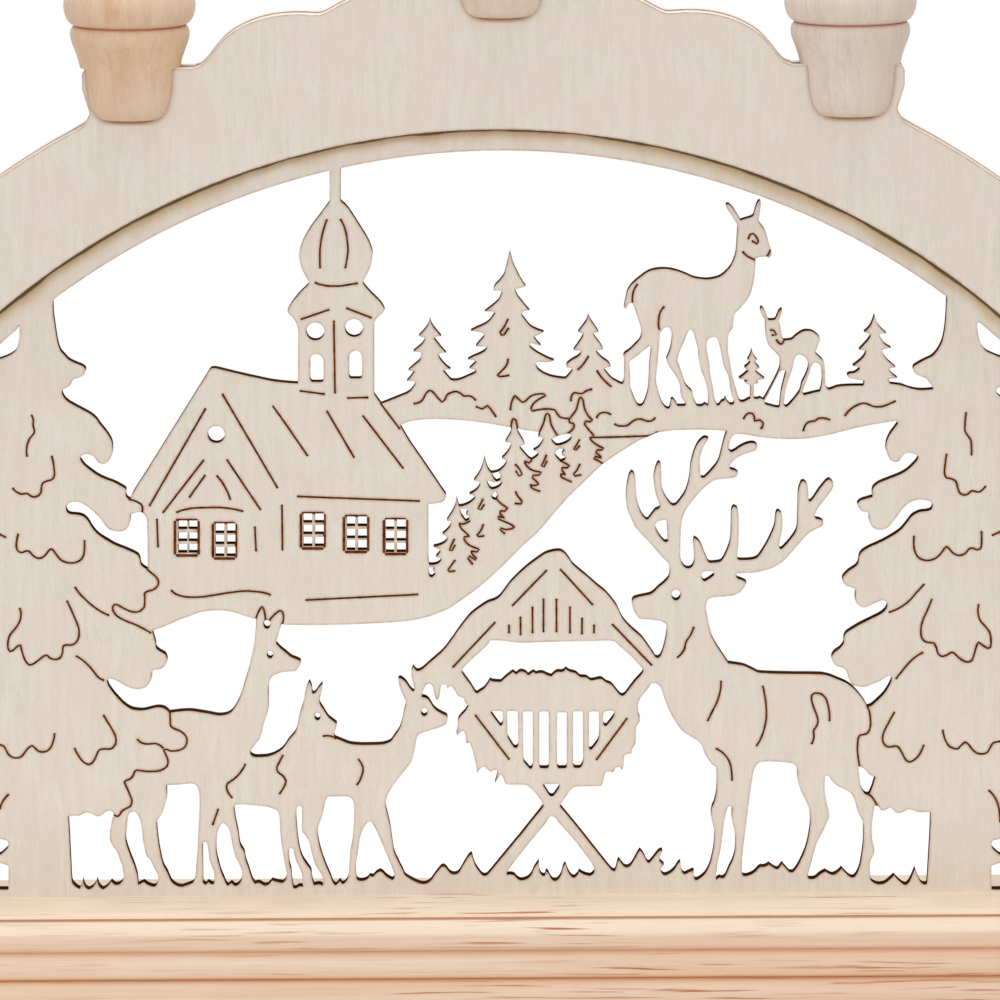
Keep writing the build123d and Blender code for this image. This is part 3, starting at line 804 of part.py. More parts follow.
def lamp_shaft():
    """The ivory shaft, with a collar round the neck of the glass."""
    up = (Align.CENTER, Align.CENTER, Align.MIN)
    shaft = Cylinder(SHAFT_RADIUS, SHAFT_LENGTH, align=up)
    shaft = fillet(shaft.edges().filter_by(GeomType.CIRCLE), SHAFT_EDGE_ROUNDING)
    seat = Cylinder(GLASS_NECK_RADIUS + GLASS_CLEARANCE, SHAFT_LENGTH, align=up)
    shaft -= Pos(0, 0, SHAFT_LENGTH - SHAFT_COLLAR_HEIGHT) * seat
    return Pos(0, 0, SHAFT_BOTTOM) * shaft


def glass_profile(inset):
    """Half outline of the flame-shaped glass, drawn in by a wall."""
    neck = GLASS_NECK_RADIUS - inset
    start = GLASS_HEIGHT * GLASS_NECK_SHARE
    ratio = (GLASS_BULGE_RADIUS - inset) / GLASS_BULGE_RADIUS
    flame = [(x * ratio, y) for x, y in scaled(GLASS_SHARES, GLASS_BULGE_RADIUS, GLASS_HEIGHT - inset)]
    tip_across, tip_up = GLASS_TIP_SHARE
    tip = (GLASS_BULGE_RADIUS * tip_across * ratio, (GLASS_HEIGHT - inset) * tip_up)
    top = (0, GLASS_HEIGHT - inset)
    side = Polyline([(0, 0), (neck, 0), (neck, start)])
    side += Spline([(neck, start)] + flame + [tip], tangents=[(0, 1), (-1, 1)])
    return side + Polyline([tip, top, (0, 0)])


def lamp_glass():
    """The clear glass: a closed flame-shaped shell, open at its neck."""
    outside = revolve(Plane.XZ * make_face(glass_profile(0)), Axis.Z)
    inside = revolve(Plane.XZ * make_face(glass_profile(GLASS_WALL)), Axis.Z)
    return Pos(0, 0, COLLAR_FLOOR) * (outside - inside)


def lamp_filament():
    """The stem in the neck and the wire loop that glows, standing on the shaft."""
    up = (Align.CENTER, Align.CENTER, Align.MIN)
    stem = Cylinder(STEM_RADIUS, STEM_HEIGHT, align=up)
    left = (-POST_SPREAD / 2, 0, STEM_HEIGHT / 2)
    left_top = (-POST_SPREAD / 2, 0, STEM_HEIGHT + POST_HEIGHT)
    right_top = (POST_SPREAD / 2, 0, STEM_HEIGHT + POST_HEIGHT)
    right = (POST_SPREAD / 2, 0, STEM_HEIGHT / 2)
    path = FilletPolyline(left, left_top, right_top, right, radius=FILAMENT_BEND)
    loop = sweep(Plane(left, z_dir=(0, 0, 1)) * Circle(POST_RADIUS), path=path)
    return Pos(0, 0, COLLAR_FLOOR) * (stem + loop)


def front_rail_profile():
    """Section of the moulded rail, across and up: rounded top, quirk, three reeds, cove and plinth."""
    face = BASE_FRONT + REED_BULGE
    level = BASE_TOP - TOP_ROUNDING
    nose = (face + TOP_ROUNDING, BASE_TOP)
    lines = Polyline([(PANEL_FRONT, PAD_THICKNESS), (PANEL_FRONT, BASE_TOP), nose])
    lines += RadiusArc(nose, (face, level), TOP_ROUNDING, short_sagitta=True)
    quirk = [(face, level), (face + QUIRK_DEPTH, level - QUIRK_HEIGHT / 2), (face, level - QUIRK_HEIGHT)]
    lines += Polyline(quirk)
    level -= QUIRK_HEIGHT
    for height in REED_HEIGHTS:
        lines += ThreePointArc((face, level), (BASE_FRONT, level - height / 2), (face, level - height))
        level -= height
    lines += ThreePointArc((face, level), (face + COVE_DEPTH, level - COVE_HEIGHT / 2),
        (face, level - COVE_HEIGHT))
    level -= COVE_HEIGHT
    foot = [(face, level), (BASE_FRONT, level - REED_BULGE), (BASE_FRONT, PAD_THICKNESS),
        (PANEL_FRONT, PAD_THICKNESS)]
    return make_face(lines + Polyline(foot))


def along_y(shape):
    """A shape that stands on Z, laid along Y."""
    return Rot(X=-90) * shape


def base_screw(clearance):
    """A countersunk screw along Y with its head's face at zero, or its hole."""
    up = (Align.CENTER, Align.CENTER, Align.MAX)
    shank = Cylinder(SCREW_SHANK_RADIUS + clearance, SCREW_LENGTH, align=up)
    head = Cone(SCREW_SHANK_RADIUS + clearance, SCREW_HEAD_RADIUS + clearance, SCREW_HEAD_DEPTH, align=up)
    return along_y(shank + head)


def screw_with_cross():
    """A screw with its cross recess."""
    deep = 2 * SCREW_CROSS_DEPTH
    bar = Box(SCREW_CROSS_LENGTH, deep, SCREW_CROSS_WIDTH)
    post = Box(SCREW_CROSS_WIDTH, deep, SCREW_CROSS_LENGTH)
    return base_screw(0) - bar - post


def drilled(rail):
    """A rail or core with the holes of the screws."""
    for place in SCREW_PLACES:
        rail -= Pos(place, BASE_BACK, SCREW_HEIGHT) * base_screw(SCREW_CLEARANCE)
    return rail


def base_rails():
    """The front rail and the back rail, which is its mirror image and has the way for the cord."""
    profile = front_rail_profile()
    rail = extrude(Plane.YZ.offset(-BASE_HALF) * profile, BASE_LENGTH)
    back = mirror(rail, about=Plane.XZ)
    up = (Align.CENTER, Align.CENTER, Align.MAX)
    bore = Cylinder(GROMMET_RADIUS + INLET_CLEARANCE, BASE_DEPTH, align=up)
    seat_depth = GROMMET_FLANGE + INLET_CLEARANCE
    flange_seat = Cylinder(GROMMET_FLANGE_RADIUS + INLET_CLEARANCE, 2 * seat_depth)
    back -= Pos(INLET_PLACE, BASE_BACK, LEAD_RUN_HEIGHT) * along_y(bore + flange_seat)
    return drilled(rail), drilled(back)


def block(left, right, bottom, top):
    """A block as thick as the panel, between the two rails."""
    corner = (Align.MIN, Align.CENTER, Align.MIN)
    return Pos(left, 0, bottom) * Box(right - left, PLY, top - bottom, align=corner)


LEFT_BLOCK_END = PLATE_SLIP - PANEL_OUTER_RADIUS - SEAT_GAP
RIGHT_BLOCK_END = LEAD_DROP_PLACE + LEAD_RADIUS + CHANNEL_CLEARANCE
CORE_END = LEAD_DROP_PLACE - LEAD_RADIUS - CHANNEL_CLEARANCE
CHANNEL_END = INLET_PLACE - GROMMET_RADIUS


def base_core():
    """The strip between the rails under the panel's tongue, cut away for the lead at its right."""
    core = block(LEFT_BLOCK_END + SEAT_GAP, CORE_END, PAD_THICKNESS, TONGUE_BOTTOM)
    channel_top = LEAD_RUN_HEIGHT + GROMMET_RADIUS + CHANNEL_CLEARANCE
    core -= block(CHANNEL_END, CORE_END + OVERRUN, PAD_THICKNESS - OVERRUN, channel_top)
    return drilled(core)


def cord_grommet():
    """The bushing that lines the way of the cord, flush with the back."""
    up = (Align.CENTER, Align.CENTER, Align.MAX)
    sleeve = Cylinder(GROMMET_RADIUS, GROMMET_LENGTH, align=up)
    flange = Cylinder(GROMMET_FLANGE_RADIUS, GROMMET_FLANGE, align=up)
    bushing = sleeve + flange - Cylinder(GROMMET_BORE, BASE_DEPTH)
    return Pos(INLET_PLACE, BASE_BACK, LEAD_RUN_HEIGHT) * along_y(bushing)


def lead_arc_point(turn):
    """The lead's centre line on the panel's edge, so far turned from straight up."""
    out = Vector(math.sin(turn), 0, math.cos(turn)) * LEAD_ARC_RADIUS
    return Vector(PLATE_SLIP, 0, ARCH_CENTRE) + out


def lead_stub(place, flat):
    """The branch of the lead from its arc up into the foot of one socket."""
    start = lead_arc_point(math.atan2(place - PLATE_SLIP, flat - ARCH_CENTRE))
    knee = Vector(place, 0, flat - STUB_RISE)
    end = Vector(place, 0, flat + CUP_FLOOR + SOCKET_FLOOR / 4)
    path = FilletPolyline(start, knee, end, radius=STUB_BEND_RADIUS)
    return sweep(Plane(start, z_dir=knee - start) * Circle(LEAD_RADIUS), path=path)


def lamp_lead():
    """The lead: round the arch on the panel's edge, down into the base and to the cord's inlet.

    Its bends there take no more than their share of the last run, which the base's depth sets.
    """
    start = lead_arc_point(LEAD_START_TURN)
    middle = lead_arc_point(LEAD_MIDDLE_TURN)
    end = lead_arc_point(LEAD_END_TURN)
    arc = ThreePointArc(start, middle, end)
    lead = sweep(Plane(start, z_dir=arc % 0) * Circle(LEAD_RADIUS), path=arc)
    down = Vector(end.X, 0, LEAD_RUN_HEIGHT)
    turn_in = Vector(INLET_PLACE, 0, LEAD_RUN_HEIGHT)
    last_run = BASE_BACK - GROMMET_LENGTH - CHANNEL_CLEARANCE
    exit_point = Vector(INLET_PLACE, last_run, LEAD_RUN_HEIGHT)
    bend_radius = min(LEAD_BEND_RADIUS, LEAD_BEND_SHARE * last_run)
    path = FilletPolyline(end, down, turn_in, exit_point, radius=bend_radius)
    lead += sweep(Plane(end, z_dir=(0, 0, -1)) * Circle(LEAD_RADIUS), path=path)
    for number, place, flat in cup_stations():
        lead += lead_stub(place, flat)
    return lead


def save(shape, name):
    """Write one sub-part."""
    shape.label = name
    export_step(shape, f"parts/{name}.step")


def main():
    os.makedirs("parts", exist_ok=True)
    sketch = plate_sketch()
    save(arch_plate(sketch, PANEL_FRONT), "front_arch")
    save(arch_plate(sketch, STACK_HALF), "back_arch")
    save(scene_panel(), "scene_panel")

    front_rail, back_rail = base_rails()
    save(front_rail, "base_front_rail")
    save(back_rail, "base_back_rail")
    save(base_core(), "base_core")
    save(block(-BASE_HALF, LEFT_BLOCK_END, PAD_THICKNESS, BASE_TOP), "base_end_left")
    save(block(RIGHT_BLOCK_END, BASE_HALF, PAD_THICKNESS, BASE_TOP), "base_end_right")
    save(cord_grommet(), "cord_grommet")
    screws = [Pos(x, BASE_BACK, SCREW_HEIGHT) * screw_with_cross() for x in SCREW_PLACES]
    save(Compound(children=screws), "base_screws")
    pad = Cylinder(PAD_RADIUS, PAD_THICKNESS, align=(Align.CENTER, Align.CENTER, Align.MIN))
    across = BASE_HALF - PAD_INSET
    depth = BASE_BACK - PAD_SIDE_INSET
    pads = [Pos(x, y, 0) * pad for x in (-across, across) for y in (-depth, depth)]
    save(Compound(children=pads), "felt_pads")
    save(lamp_lead(), "lamp_lead")

    pieces = {"candle_cup": turned_cup(), "lamp_socket": lamp_socket(), "lamp_cap": lamp_cap(),
        "lamp_shaft": lamp_shaft(), "lamp_glass": lamp_glass(), "lamp_filament": lamp_filament()}
    for number, place, flat in cup_stations():
        for name, piece in pieces.items():
            save(Pos(place, 0, flat) * piece, f"{name}_{number}")


main()
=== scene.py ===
"""Candle arch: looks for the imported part, laid out as an add-on and run as a script.

Each operator makes one piece, or one group of like pieces, of the arch: the laser-cut picture, the
arch plates, the base, the turned cups, the lamps, the lead, and the stage that they are seen on.
Lengths are in metres. X is across, Z is up, and the picture's front looks along -Y.
"""

import math

import bpy
import numpy as np
from mathutils import Matrix, Vector
from mathutils.geometry import delaunay_2d_cdt


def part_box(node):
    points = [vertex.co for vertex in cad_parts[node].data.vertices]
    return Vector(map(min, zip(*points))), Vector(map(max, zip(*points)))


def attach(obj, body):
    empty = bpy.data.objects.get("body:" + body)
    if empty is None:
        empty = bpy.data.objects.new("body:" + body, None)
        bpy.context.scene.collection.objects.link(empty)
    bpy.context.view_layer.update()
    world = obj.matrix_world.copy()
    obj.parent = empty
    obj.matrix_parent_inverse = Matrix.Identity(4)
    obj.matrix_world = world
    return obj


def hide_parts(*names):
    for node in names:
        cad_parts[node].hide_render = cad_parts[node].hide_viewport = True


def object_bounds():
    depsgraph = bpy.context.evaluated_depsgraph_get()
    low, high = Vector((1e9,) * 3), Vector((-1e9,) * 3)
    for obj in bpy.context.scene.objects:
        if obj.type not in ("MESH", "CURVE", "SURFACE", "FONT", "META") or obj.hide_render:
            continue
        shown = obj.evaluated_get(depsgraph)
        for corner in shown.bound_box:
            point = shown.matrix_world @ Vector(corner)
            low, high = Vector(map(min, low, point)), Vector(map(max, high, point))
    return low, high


bl_info = {
    "name": "Candle arch",
    "version": (1, 0, 0),
    "blender": (4, 5, 0),
    "location": "View3D > Sidebar > Candle arch",
    "description": "Pieces and finishes of a laser-cut candle arch",
    "category": "Object",
}

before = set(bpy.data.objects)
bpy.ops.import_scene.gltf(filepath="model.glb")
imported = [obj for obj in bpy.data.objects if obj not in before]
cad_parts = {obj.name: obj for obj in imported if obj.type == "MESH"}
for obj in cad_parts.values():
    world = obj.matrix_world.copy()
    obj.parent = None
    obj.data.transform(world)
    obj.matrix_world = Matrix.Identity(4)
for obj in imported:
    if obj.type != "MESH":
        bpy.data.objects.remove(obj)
CAD_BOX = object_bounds()
LAMPS = range(1, 8)
BASE_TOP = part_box("base_front_rail")[1].z

# How the photograph sees the picture: its middle, the base line, the opening's radius, the tilt, the
# roll and the distance of the view. Points picked in it are laid on the panel with these.
PHOTO_MIDDLE_PX = 500.0
BASE_LINE_PX = 894.3
OPENING_RADIUS_PX = 742.5
OPENING_RADIUS = 0.1745
VIEW_DISTANCE_PX = 8000.0
VIEW_TILT = math.radians(9.1)
VIEW_ROLL = math.radians(0.32)
METRES_PER_PX = OPENING_RADIUS / OPENING_RADIUS_PX

# Laser kerfs of the picture, in pixels of the photograph, each an open line from end to end.
LEFT_TREE_INNER_KERFS_PX = [
    [(130, 499.5), (135, 501), (140, 503.5), (142.5, 507), (142, 512)],
    [(148, 570), (152, 573.5), (156, 577), (158.5, 581.5), (157.5, 586), (153.5, 589.5), (147, 591.5),
     (144.5, 593.5), (144.5, 606), (141.5, 610), (137, 612), (131, 611.5), (124, 608.5), (118, 605),
     (114.5, 604.5), (112.5, 607), (113.5, 611.5), (117, 616), (125, 620.5), (135, 624.5), (144, 629),
     (150, 632.5)],
    [(170, 713), (170.5, 726), (174, 728.5), (180, 731), (185, 735), (187, 740), (186, 745), (183, 748.5),
     (178, 750.5), (171, 751), (167, 749.5), (163.5, 750), (166, 755), (168, 761), (167, 766),
     (163.5, 769), (158, 771), (150, 771.5), (143, 771), (137, 770), (134.5, 772), (133, 776), (130, 779),
     (126, 780.5), (124.5, 782.5), (127, 788), (130, 795), (132, 801), (130.5, 806), (126, 808.5),
     (122, 811), (119.5, 815), (117, 816.5), (114, 815)],
    [(138, 740), (142, 743), (148, 744), (155, 743.5), (159.5, 745), (162.5, 747.5)],
]
LEFT_TREE_KERFS_PX = [
    [(32, 416), (33.5, 421), (33, 425), (34.5, 431), (33.5, 434), (30, 438), (27.5, 444), (26.5, 450),
     (27, 455.5)],
    [(52, 457), (53.5, 464), (54.5, 473), (53.5, 478), (51, 480), (47, 481), (43, 483), (41.5, 487),
     (41, 492), (38.5, 495.5), (34, 497), (30, 495.5), (27, 493.5), (21, 494), (16, 491.5), (13.5, 489)],
    [(0, 534.5), (5, 537)],
    [(18, 535), (16.5, 542), (16.5, 548), (18.5, 551.5), (22, 552.5), (26, 551), (29.5, 551.5),
     (33, 555.5), (37, 558), (41, 558), (45, 555.5), (48, 551.5), (50.5, 549), (53, 550), (56, 554),
     (60.5, 559.5), (65, 562), (71, 563), (77, 562), (81.5, 559), (84, 554), (84.5, 547), (84.5, 541.5)],
    [(75.5, 588), (80, 594), (86, 600), (93, 606), (100, 611), (108, 615)],
    [(20, 609), (21, 615), (19.5, 622), (15, 629), (10, 635), (8, 642), (8, 648), (10, 651.5),
     (13.5, 650), (17, 646.5), (20.5, 645), (21.5, 649), (23, 655), (25.5, 661), (29.5, 665), (34, 663.5),
     (40, 659), (44, 656), (47.5, 655.5), (50, 658), (55, 659.5), (60, 658), (62.5, 653), (63, 647),
     (65.5, 645), (71, 645), (75.5, 643), (78.5, 638), (79, 630), (76.5, 622), (73, 614), (70, 607),
     (67.5, 602)],
    [(77, 656.5), (83, 660.5), (89, 666), (94, 672), (98, 677), (103, 680)],
    [(0, 745), (4, 746.5), (6.5, 751), (9, 755), (13, 757.5), (17, 758), (21.5, 756.5), (25, 752),
     (29, 747.5), (32, 745.5), (35, 748), (38, 751), (42, 752), (47, 751), (51, 747), (53.5, 740.5),
     (54.5, 734.5)],
    [(75, 749), (78, 755), (83, 761.5), (89, 764.5), (93, 762), (96, 756.5), (98.5, 751), (102, 749),
     (110, 749), (113.5, 747), (116, 742), (115, 735), (111, 727.5), (107, 721), (104, 716)],
    [(0, 808), (3, 801), (8, 795)],
]
CHURCH_KERFS_PX = [
    [(205, 409.5), (150, 505)],
    [(203, 461), (163.5, 512)],
    [(204.5, 476), (190, 496.5)],
    [(217.5, 476.5), (222, 482), (226, 489), (228, 493), (230, 498.5)],
    [(227.5, 460.5), (260, 509)],
    [(223, 395), (277, 487)],
    [(273.5, 407), (285, 423), (307, 455)],
    [(327.5, 412), (353.5, 456.5)],
    [(363.5, 416.5), (402.5, 467.5)],
    [(298.5, 496.5), (418.5, 501)],
    [(157, 520), (158, 546)],
    [(177.5, 512), (185, 509.5), (195, 508), (210, 507.5), (220, 507.5), (230, 508.5), (242, 511)],
    [(255, 528), (256, 550)],
    [(282, 506), (282.5, 549)],
    [(301, 391), (323.5, 394)],
    [(348.5, 398), (367, 397.5)],
    [(334, 322), (334, 330), (335, 392)],
    [(326.5, 220.5), (324, 228), (321.5, 238), (320, 250), (320, 267)],
    [(341, 220), (345, 229), (347, 239), (348, 250), (346.5, 262), (345.5, 267)],
    [(316, 283), (322, 285), (330, 286), (340, 286), (350, 284.5), (356.5, 283.5)],
    [(302, 319), (328, 310)],
    [(347.5, 308.5), (370.5, 317.5)],
    [(381, 404), (399, 428)],
    [(172, 591), (178, 595), (187, 597), (200, 597), (215, 595), (230, 592.5), (245, 591), (255, 591.5),
     (263, 592.5), (269.5, 594.5)],
    [(307, 600), (417, 594.5)],
]
DEER_KERFS_PX = [
    [(256, 618), (259, 611), (262, 606.5), (264, 610), (265.5, 619), (264.5, 623)],
    [(269, 621), (274, 615), (280, 610.5), (283, 613), (283.5, 619), (282, 624)],
    [(245, 765), (240, 773), (234, 779), (228, 783), (226.5, 787), (228, 792), (231.5, 797)],
    [(282.5, 756), (280, 761), (277, 767), (278, 772), (283, 776), (286, 781), (284, 787), (280, 793)],
    [(359, 760), (362.5, 766), (363, 771), (360.5, 779), (357.5, 784)],
    [(218, 810), (213, 824)],
    [(324, 736), (330, 736), (335, 738)],
    [(637, 285), (633.5, 291), (632.5, 297), (632.5, 301)],
    [(663.5, 307.5), (660, 313), (658.5, 321), (659, 328.5)],
    [(743.5, 252.5), (748, 256.5), (755.5, 260)],
    [(770, 251), (767.5, 256)],
    [(777, 340.5), (779.5, 343.5), (782, 344), (784, 340.5)],
    [(748.5, 238), (750, 234.5), (753, 233.5), (757.5, 239), (757.5, 244), (753, 241.5)],
    [(771.5, 330), (774, 330.5), (776.5, 335), (773, 335)],
    [(693.5, 628), (690, 636), (686, 642), (684, 650), (678, 657)],
    [(721, 682), (720, 692), (717, 702), (712, 712), (708, 720)],
    [(763, 687), (765.5, 700), (766.5, 715), (764.5, 728), (761, 738), (757, 745)],
    [(829.5, 720), (829, 710), (826.5, 700), (822, 694.5), (816, 693), (812, 695), (811.5, 700),
     (814, 708), (817, 716), (818, 722), (816, 727), (813.5, 731), (814, 737), (812, 743)],
    [(717, 749), (723, 753), (728, 759), (731, 767), (732, 779.5)],
    [(867.5, 707), (869.5, 712), (870.5, 719), (870.5, 725), (869, 731), (866, 734), (861, 735),
     (858.5, 737), (857.5, 745), (857.5, 752), (859, 763), (859.5, 766.5)],
    [(868, 794), (872, 797), (875, 801.5), (877.5, 806)],
]
RACK_KERFS_PX = [
    [(546, 571), (513, 605)],
    [(561, 570), (592, 604)],
    [(509, 626), (509, 632)],
    [(520.5, 618), (520.5, 634)],
    [(532.5, 608), (532.5, 632)],
    [(543.5, 600), (543.5, 631)],
    [(556.5, 600), (556.5, 631)],
    [(570, 608), (570, 632)],
    [(582, 619), (582, 633)],
    [(594, 626), (594, 632)],
    [(453.5, 666.5), (494.5, 623)],
    [(613, 625), (651, 664.5)],
    [(476, 716), (508.5, 758.5)],
    [(626.5, 719), (597, 759)],
]
HILL_KERFS_PX = [
    [(597, 417), (600, 413.5), (605, 412.5), (610, 414)],
    [(615.5, 424.5), (620, 426), (627, 425.5), (634, 420.5), (640, 419), (647, 421), (651, 421),
     (654.5, 418.5)],
    [(592, 437.5), (645, 436), (657, 432.5)],
    [(744, 418), (747, 414), (751, 413), (754, 416), (754, 421), (760, 420), (763, 422.5), (763, 425),
     (761.5, 428)],
    [(571, 400), (572, 395), (575, 392.5), (582, 393.5), (586, 391), (591, 389.5)],
    [(578.5, 369), (583, 364.5), (588, 357)],
    [(597.5, 371.5), (602, 378), (607, 383), (610.5, 386)],
    [(845.5, 415), (852, 408), (860, 404), (866, 403.5), (874, 406.5), (882, 406.5), (889, 404),
     (894.5, 401.5)],
    [(803.5, 430), (806, 424), (810, 421.5), (815, 421), (818, 418.5), (823, 418), (829, 419.5)],
    [(415, 403.5), (422, 400.5), (426, 393.5), (429.5, 390.5), (433, 392), (438, 398), (442, 402),
     (445, 399.5), (447.5, 394.5), (455, 391.5), (460, 393), (464, 396), (470, 396), (475, 399.5)],
    [(477, 407), (482, 409), (487.5, 405.5), (490.5, 409), (495.5, 416)],
    [(510.5, 409), (512, 401), (515, 395.5), (518.5, 399), (522.5, 402.5), (526, 400.5), (531, 396),
     (538, 394), (544, 394), (545.5, 396), (540, 398.5), (534, 403), (531, 408.5), (532.5, 411),
     (540, 409.5), (548, 409), (555, 410), (559, 416), (563, 418), (569, 418.5)],
]
FIR_KERFS_PX = [
    [(511, 428), (512, 421), (513.5, 418.5), (516, 420), (517.5, 428)],
    [(531, 461), (529, 463), (524.5, 461), (526, 465), (530, 469), (535, 471), (541, 472), (539, 475),
     (533, 475.5), (532.5, 478), (536, 481), (538.5, 484), (535, 485.5), (530.5, 484.5), (532, 488),
     (536, 490), (539, 491)],
    [(539, 434), (540, 431), (543.5, 423), (545.5, 415.5), (547.5, 413.5), (549.5, 415.5), (551, 424),
     (554.5, 431), (557.5, 435.5)],
    [(561, 461), (565, 463), (569.5, 465.5), (567, 468), (562, 467.5), (562.5, 471), (566, 474.5),
     (560.5, 474), (561.5, 477), (565, 479), (570.5, 481.5)],
    [(566, 434.5), (571, 431), (574, 427), (573.5, 423.5), (569.5, 422.5), (569, 419), (572.5, 415),
     (576.5, 409), (578.5, 401), (580.5, 397), (583, 400), (584.5, 408), (588, 415.5), (592.5, 419.5),
     (590, 422), (585.5, 421), (584.5, 424), (588, 429), (592.5, 434), (594, 437), (589.5, 438),
     (592, 441), (597, 445), (603.5, 448), (602, 450), (597, 450), (596, 453), (600, 456), (601.5, 458),
     (595, 456.5), (594, 459), (598, 460.5), (602.5, 463.5)],
    [(497, 499.5), (501, 503.5), (507.5, 508), (505, 511), (500, 511), (501, 515), (505, 518),
     (498, 516.5), (498.5, 519), (503, 521), (510, 524), (514.5, 527), (508, 529.5), (501, 528),
     (500.5, 530), (504, 533)],
    [(469, 521.5), (463, 524), (459.5, 523), (461, 528), (465, 532), (469.5, 536), (464, 537), (465, 541),
     (470, 545.5), (479, 549), (477, 552), (471, 551), (473, 555), (476.5, 558), (476, 560), (469, 556),
     (468, 558.5), (472, 563.5)],
]
NEEDLE_KERFS_PX = [
    [(507.5, 320), (504, 327), (500, 332), (501.5, 335), (504, 335), (508, 329)],
    [(508, 360), (506, 366), (500, 372.5), (497.5, 375), (500, 376.5), (508, 375.5)],
    [(579, 440.5), (576.5, 445), (574, 449), (576, 450), (579, 446.5)],
    [(579.5, 465), (577, 470), (573.5, 474), (575, 476), (580, 475)],
    [(546, 456), (544, 461), (541.5, 465.5), (544, 467), (546.5, 462)],
    [(516, 465), (520, 470), (522, 474.5), (519, 476), (516.5, 472)],
    [(516, 492.5), (518.5, 497), (522, 501), (521, 504), (516, 503.5)],
    [(482.5, 500), (480, 505), (478, 509), (481, 509.5), (483.5, 505.5)],
    [(483, 525.5), (480.5, 531), (477, 535), (479, 536.5), (483, 536)],
    [(454, 540), (451.5, 545), (449.5, 550), (452, 550.5), (454.5, 546)],
    [(454.5, 561), (451.5, 565), (448, 570), (450, 571.5), (454, 571)],
]
RIGHT_TREE_KERFS_PX = [
    [(966, 413.5), (965, 424), (965, 431), (968, 436), (971, 441), (971.5, 454)],
    [(946.5, 455), (945, 465), (944.5, 473), (946.5, 478), (952, 479), (956, 481.5), (957.5, 487),
     (960, 493), (964, 495), (968, 494), (971, 491), (974, 491), (977.5, 492), (981, 491), (985, 487)],
    [(914, 537), (914, 547), (916.5, 555), (921, 559), (928, 560.5), (935, 558.5), (940, 554.5),
     (944, 549), (946.5, 546.5), (949.5, 549), (953, 553), (959, 555.5), (965, 553.5), (969, 549),
     (972, 548), (976, 549.5), (979, 549.5), (981.5, 546), (981.5, 532.5)],
    [(993, 535), (1000, 532)],
    [(923.5, 585), (917, 592), (909, 601), (900, 607.5), (890, 612)],
    [(931.5, 600), (927, 611), (923, 620), (921, 629), (921.5, 637), (925, 641.5), (930, 642.5),
     (934, 643), (936.5, 648), (938, 653.5), (942, 656.5), (947, 655), (951, 652.5), (954, 653),
     (958, 657), (963, 660.5), (968, 662), (972, 660), (974.5, 653), (976.5, 646), (978.5, 642),
     (983, 645.5), (988, 648.5), (990.5, 647), (991, 640), (989.5, 632), (985, 626), (980, 620),
     (978, 612), (978.5, 605.5)],
    [(922, 653), (914, 658), (908, 664), (902, 671), (896.5, 678)],
    [(894, 713), (889, 722), (884, 732), (882.5, 740), (885, 745), (889, 747), (896, 746), (899.5, 748.5),
     (903, 755), (906, 760), (909.5, 762), (914, 760), (919, 755), (923.5, 746)],
    [(943, 731), (945, 739), (948.5, 745.5), (954, 748.5), (958.5, 748.5), (962, 744.5), (965.5, 742),
     (969, 745), (973, 750), (977, 753), (982, 754), (987, 752.5), (990.5, 747), (992.5, 743.5),
     (996, 742), (1000, 741.5)],
    [(989.5, 791), (994, 796), (997.5, 803), (999.5, 812), (1000, 821)],
]

# Frames of the church windows: left, top, right and bottom
WINDOW_FRAMES_PX = [
    (175, 520, 198.5, 555.5), (213, 523, 236, 558.5), (301, 513, 324.5, 548.5), (344, 516, 368, 552),
    (384, 519, 407, 554),
]

# Trunks about which the outer halves of the trees repeat the inner ones
LEFT_TRUNK_PX = 0.0
RIGHT_TRUNK_PX = 1000.0


def picked(points):
    """Places across and up on the panel's front of points picked in the photograph.

    The roll is turned back, and the sight line through each point is cut with the upright plane.
    """
    points = np.asarray(points, float)
    u = points[:, 0] - PHOTO_MIDDLE_PX
    v = PHOTO_MIDDLE_PX - points[:, 1]
    across = u * math.cos(VIEW_ROLL) + v * math.sin(VIEW_ROLL)
    up = v * math.cos(VIEW_ROLL) - u * math.sin(VIEW_ROLL)
    sight = VIEW_DISTANCE_PX * math.cos(VIEW_TILT)
    rise = VIEW_DISTANCE_PX * math.sin(VIEW_TILT)
    reach = sight / (sight + up * math.sin(VIEW_TILT))
    height = rise + reach * (up * math.cos(VIEW_TILT) - rise)
    return np.column_stack([reach * across, height]) * METRES_PER_PX


LIFT = BASE_TOP - picked([(PHOTO_MIDDLE_PX, BASE_LINE_PX)])[0, 1]


def on_panel(points):
    """Points picked in the photograph as places across and up in the frame."""
    return picked(points) + np.array([0.0, LIFT])


# Meshes

# A CAD node's doubles are merged on a grid of a hundredth of a millimetre
GRID_STEPS_PER_METRE = 1e5

# A direction that no tube starts along, which turns its first ring
OBLIQUE = (0.31, 0.87, 0.39)

# The least turn of an edge that stays sharp on the base's pieces
BASE_SHARP_EDGE = math.radians(30)


def new_piece(name, node, vertices, faces, body, slot_name, *materials, sharp_angle=None, kinds=None):
    """A mesh object in place of a CAD node, riding on a body.

    Given an angle, it is shaded smooth but for the edges that turn by more, and flat otherwise.
    """
    mesh = bpy.data.meshes.new(name)
    mesh.from_pydata(np.asarray(vertices).tolist(), [], [list(face) for face in faces])
    if sharp_angle is None:
        mesh.shade_flat()
    else:
        mesh.shade_smooth()
        mesh.set_sharp_from_angle(angle=sharp_angle)
    piece = bpy.data.objects.new(name, mesh)
    bpy.context.scene.collection.objects.link(piece)
    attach(piece, body)
    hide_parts(node)
    dress(piece, *materials, kinds=kinds)
    return piece


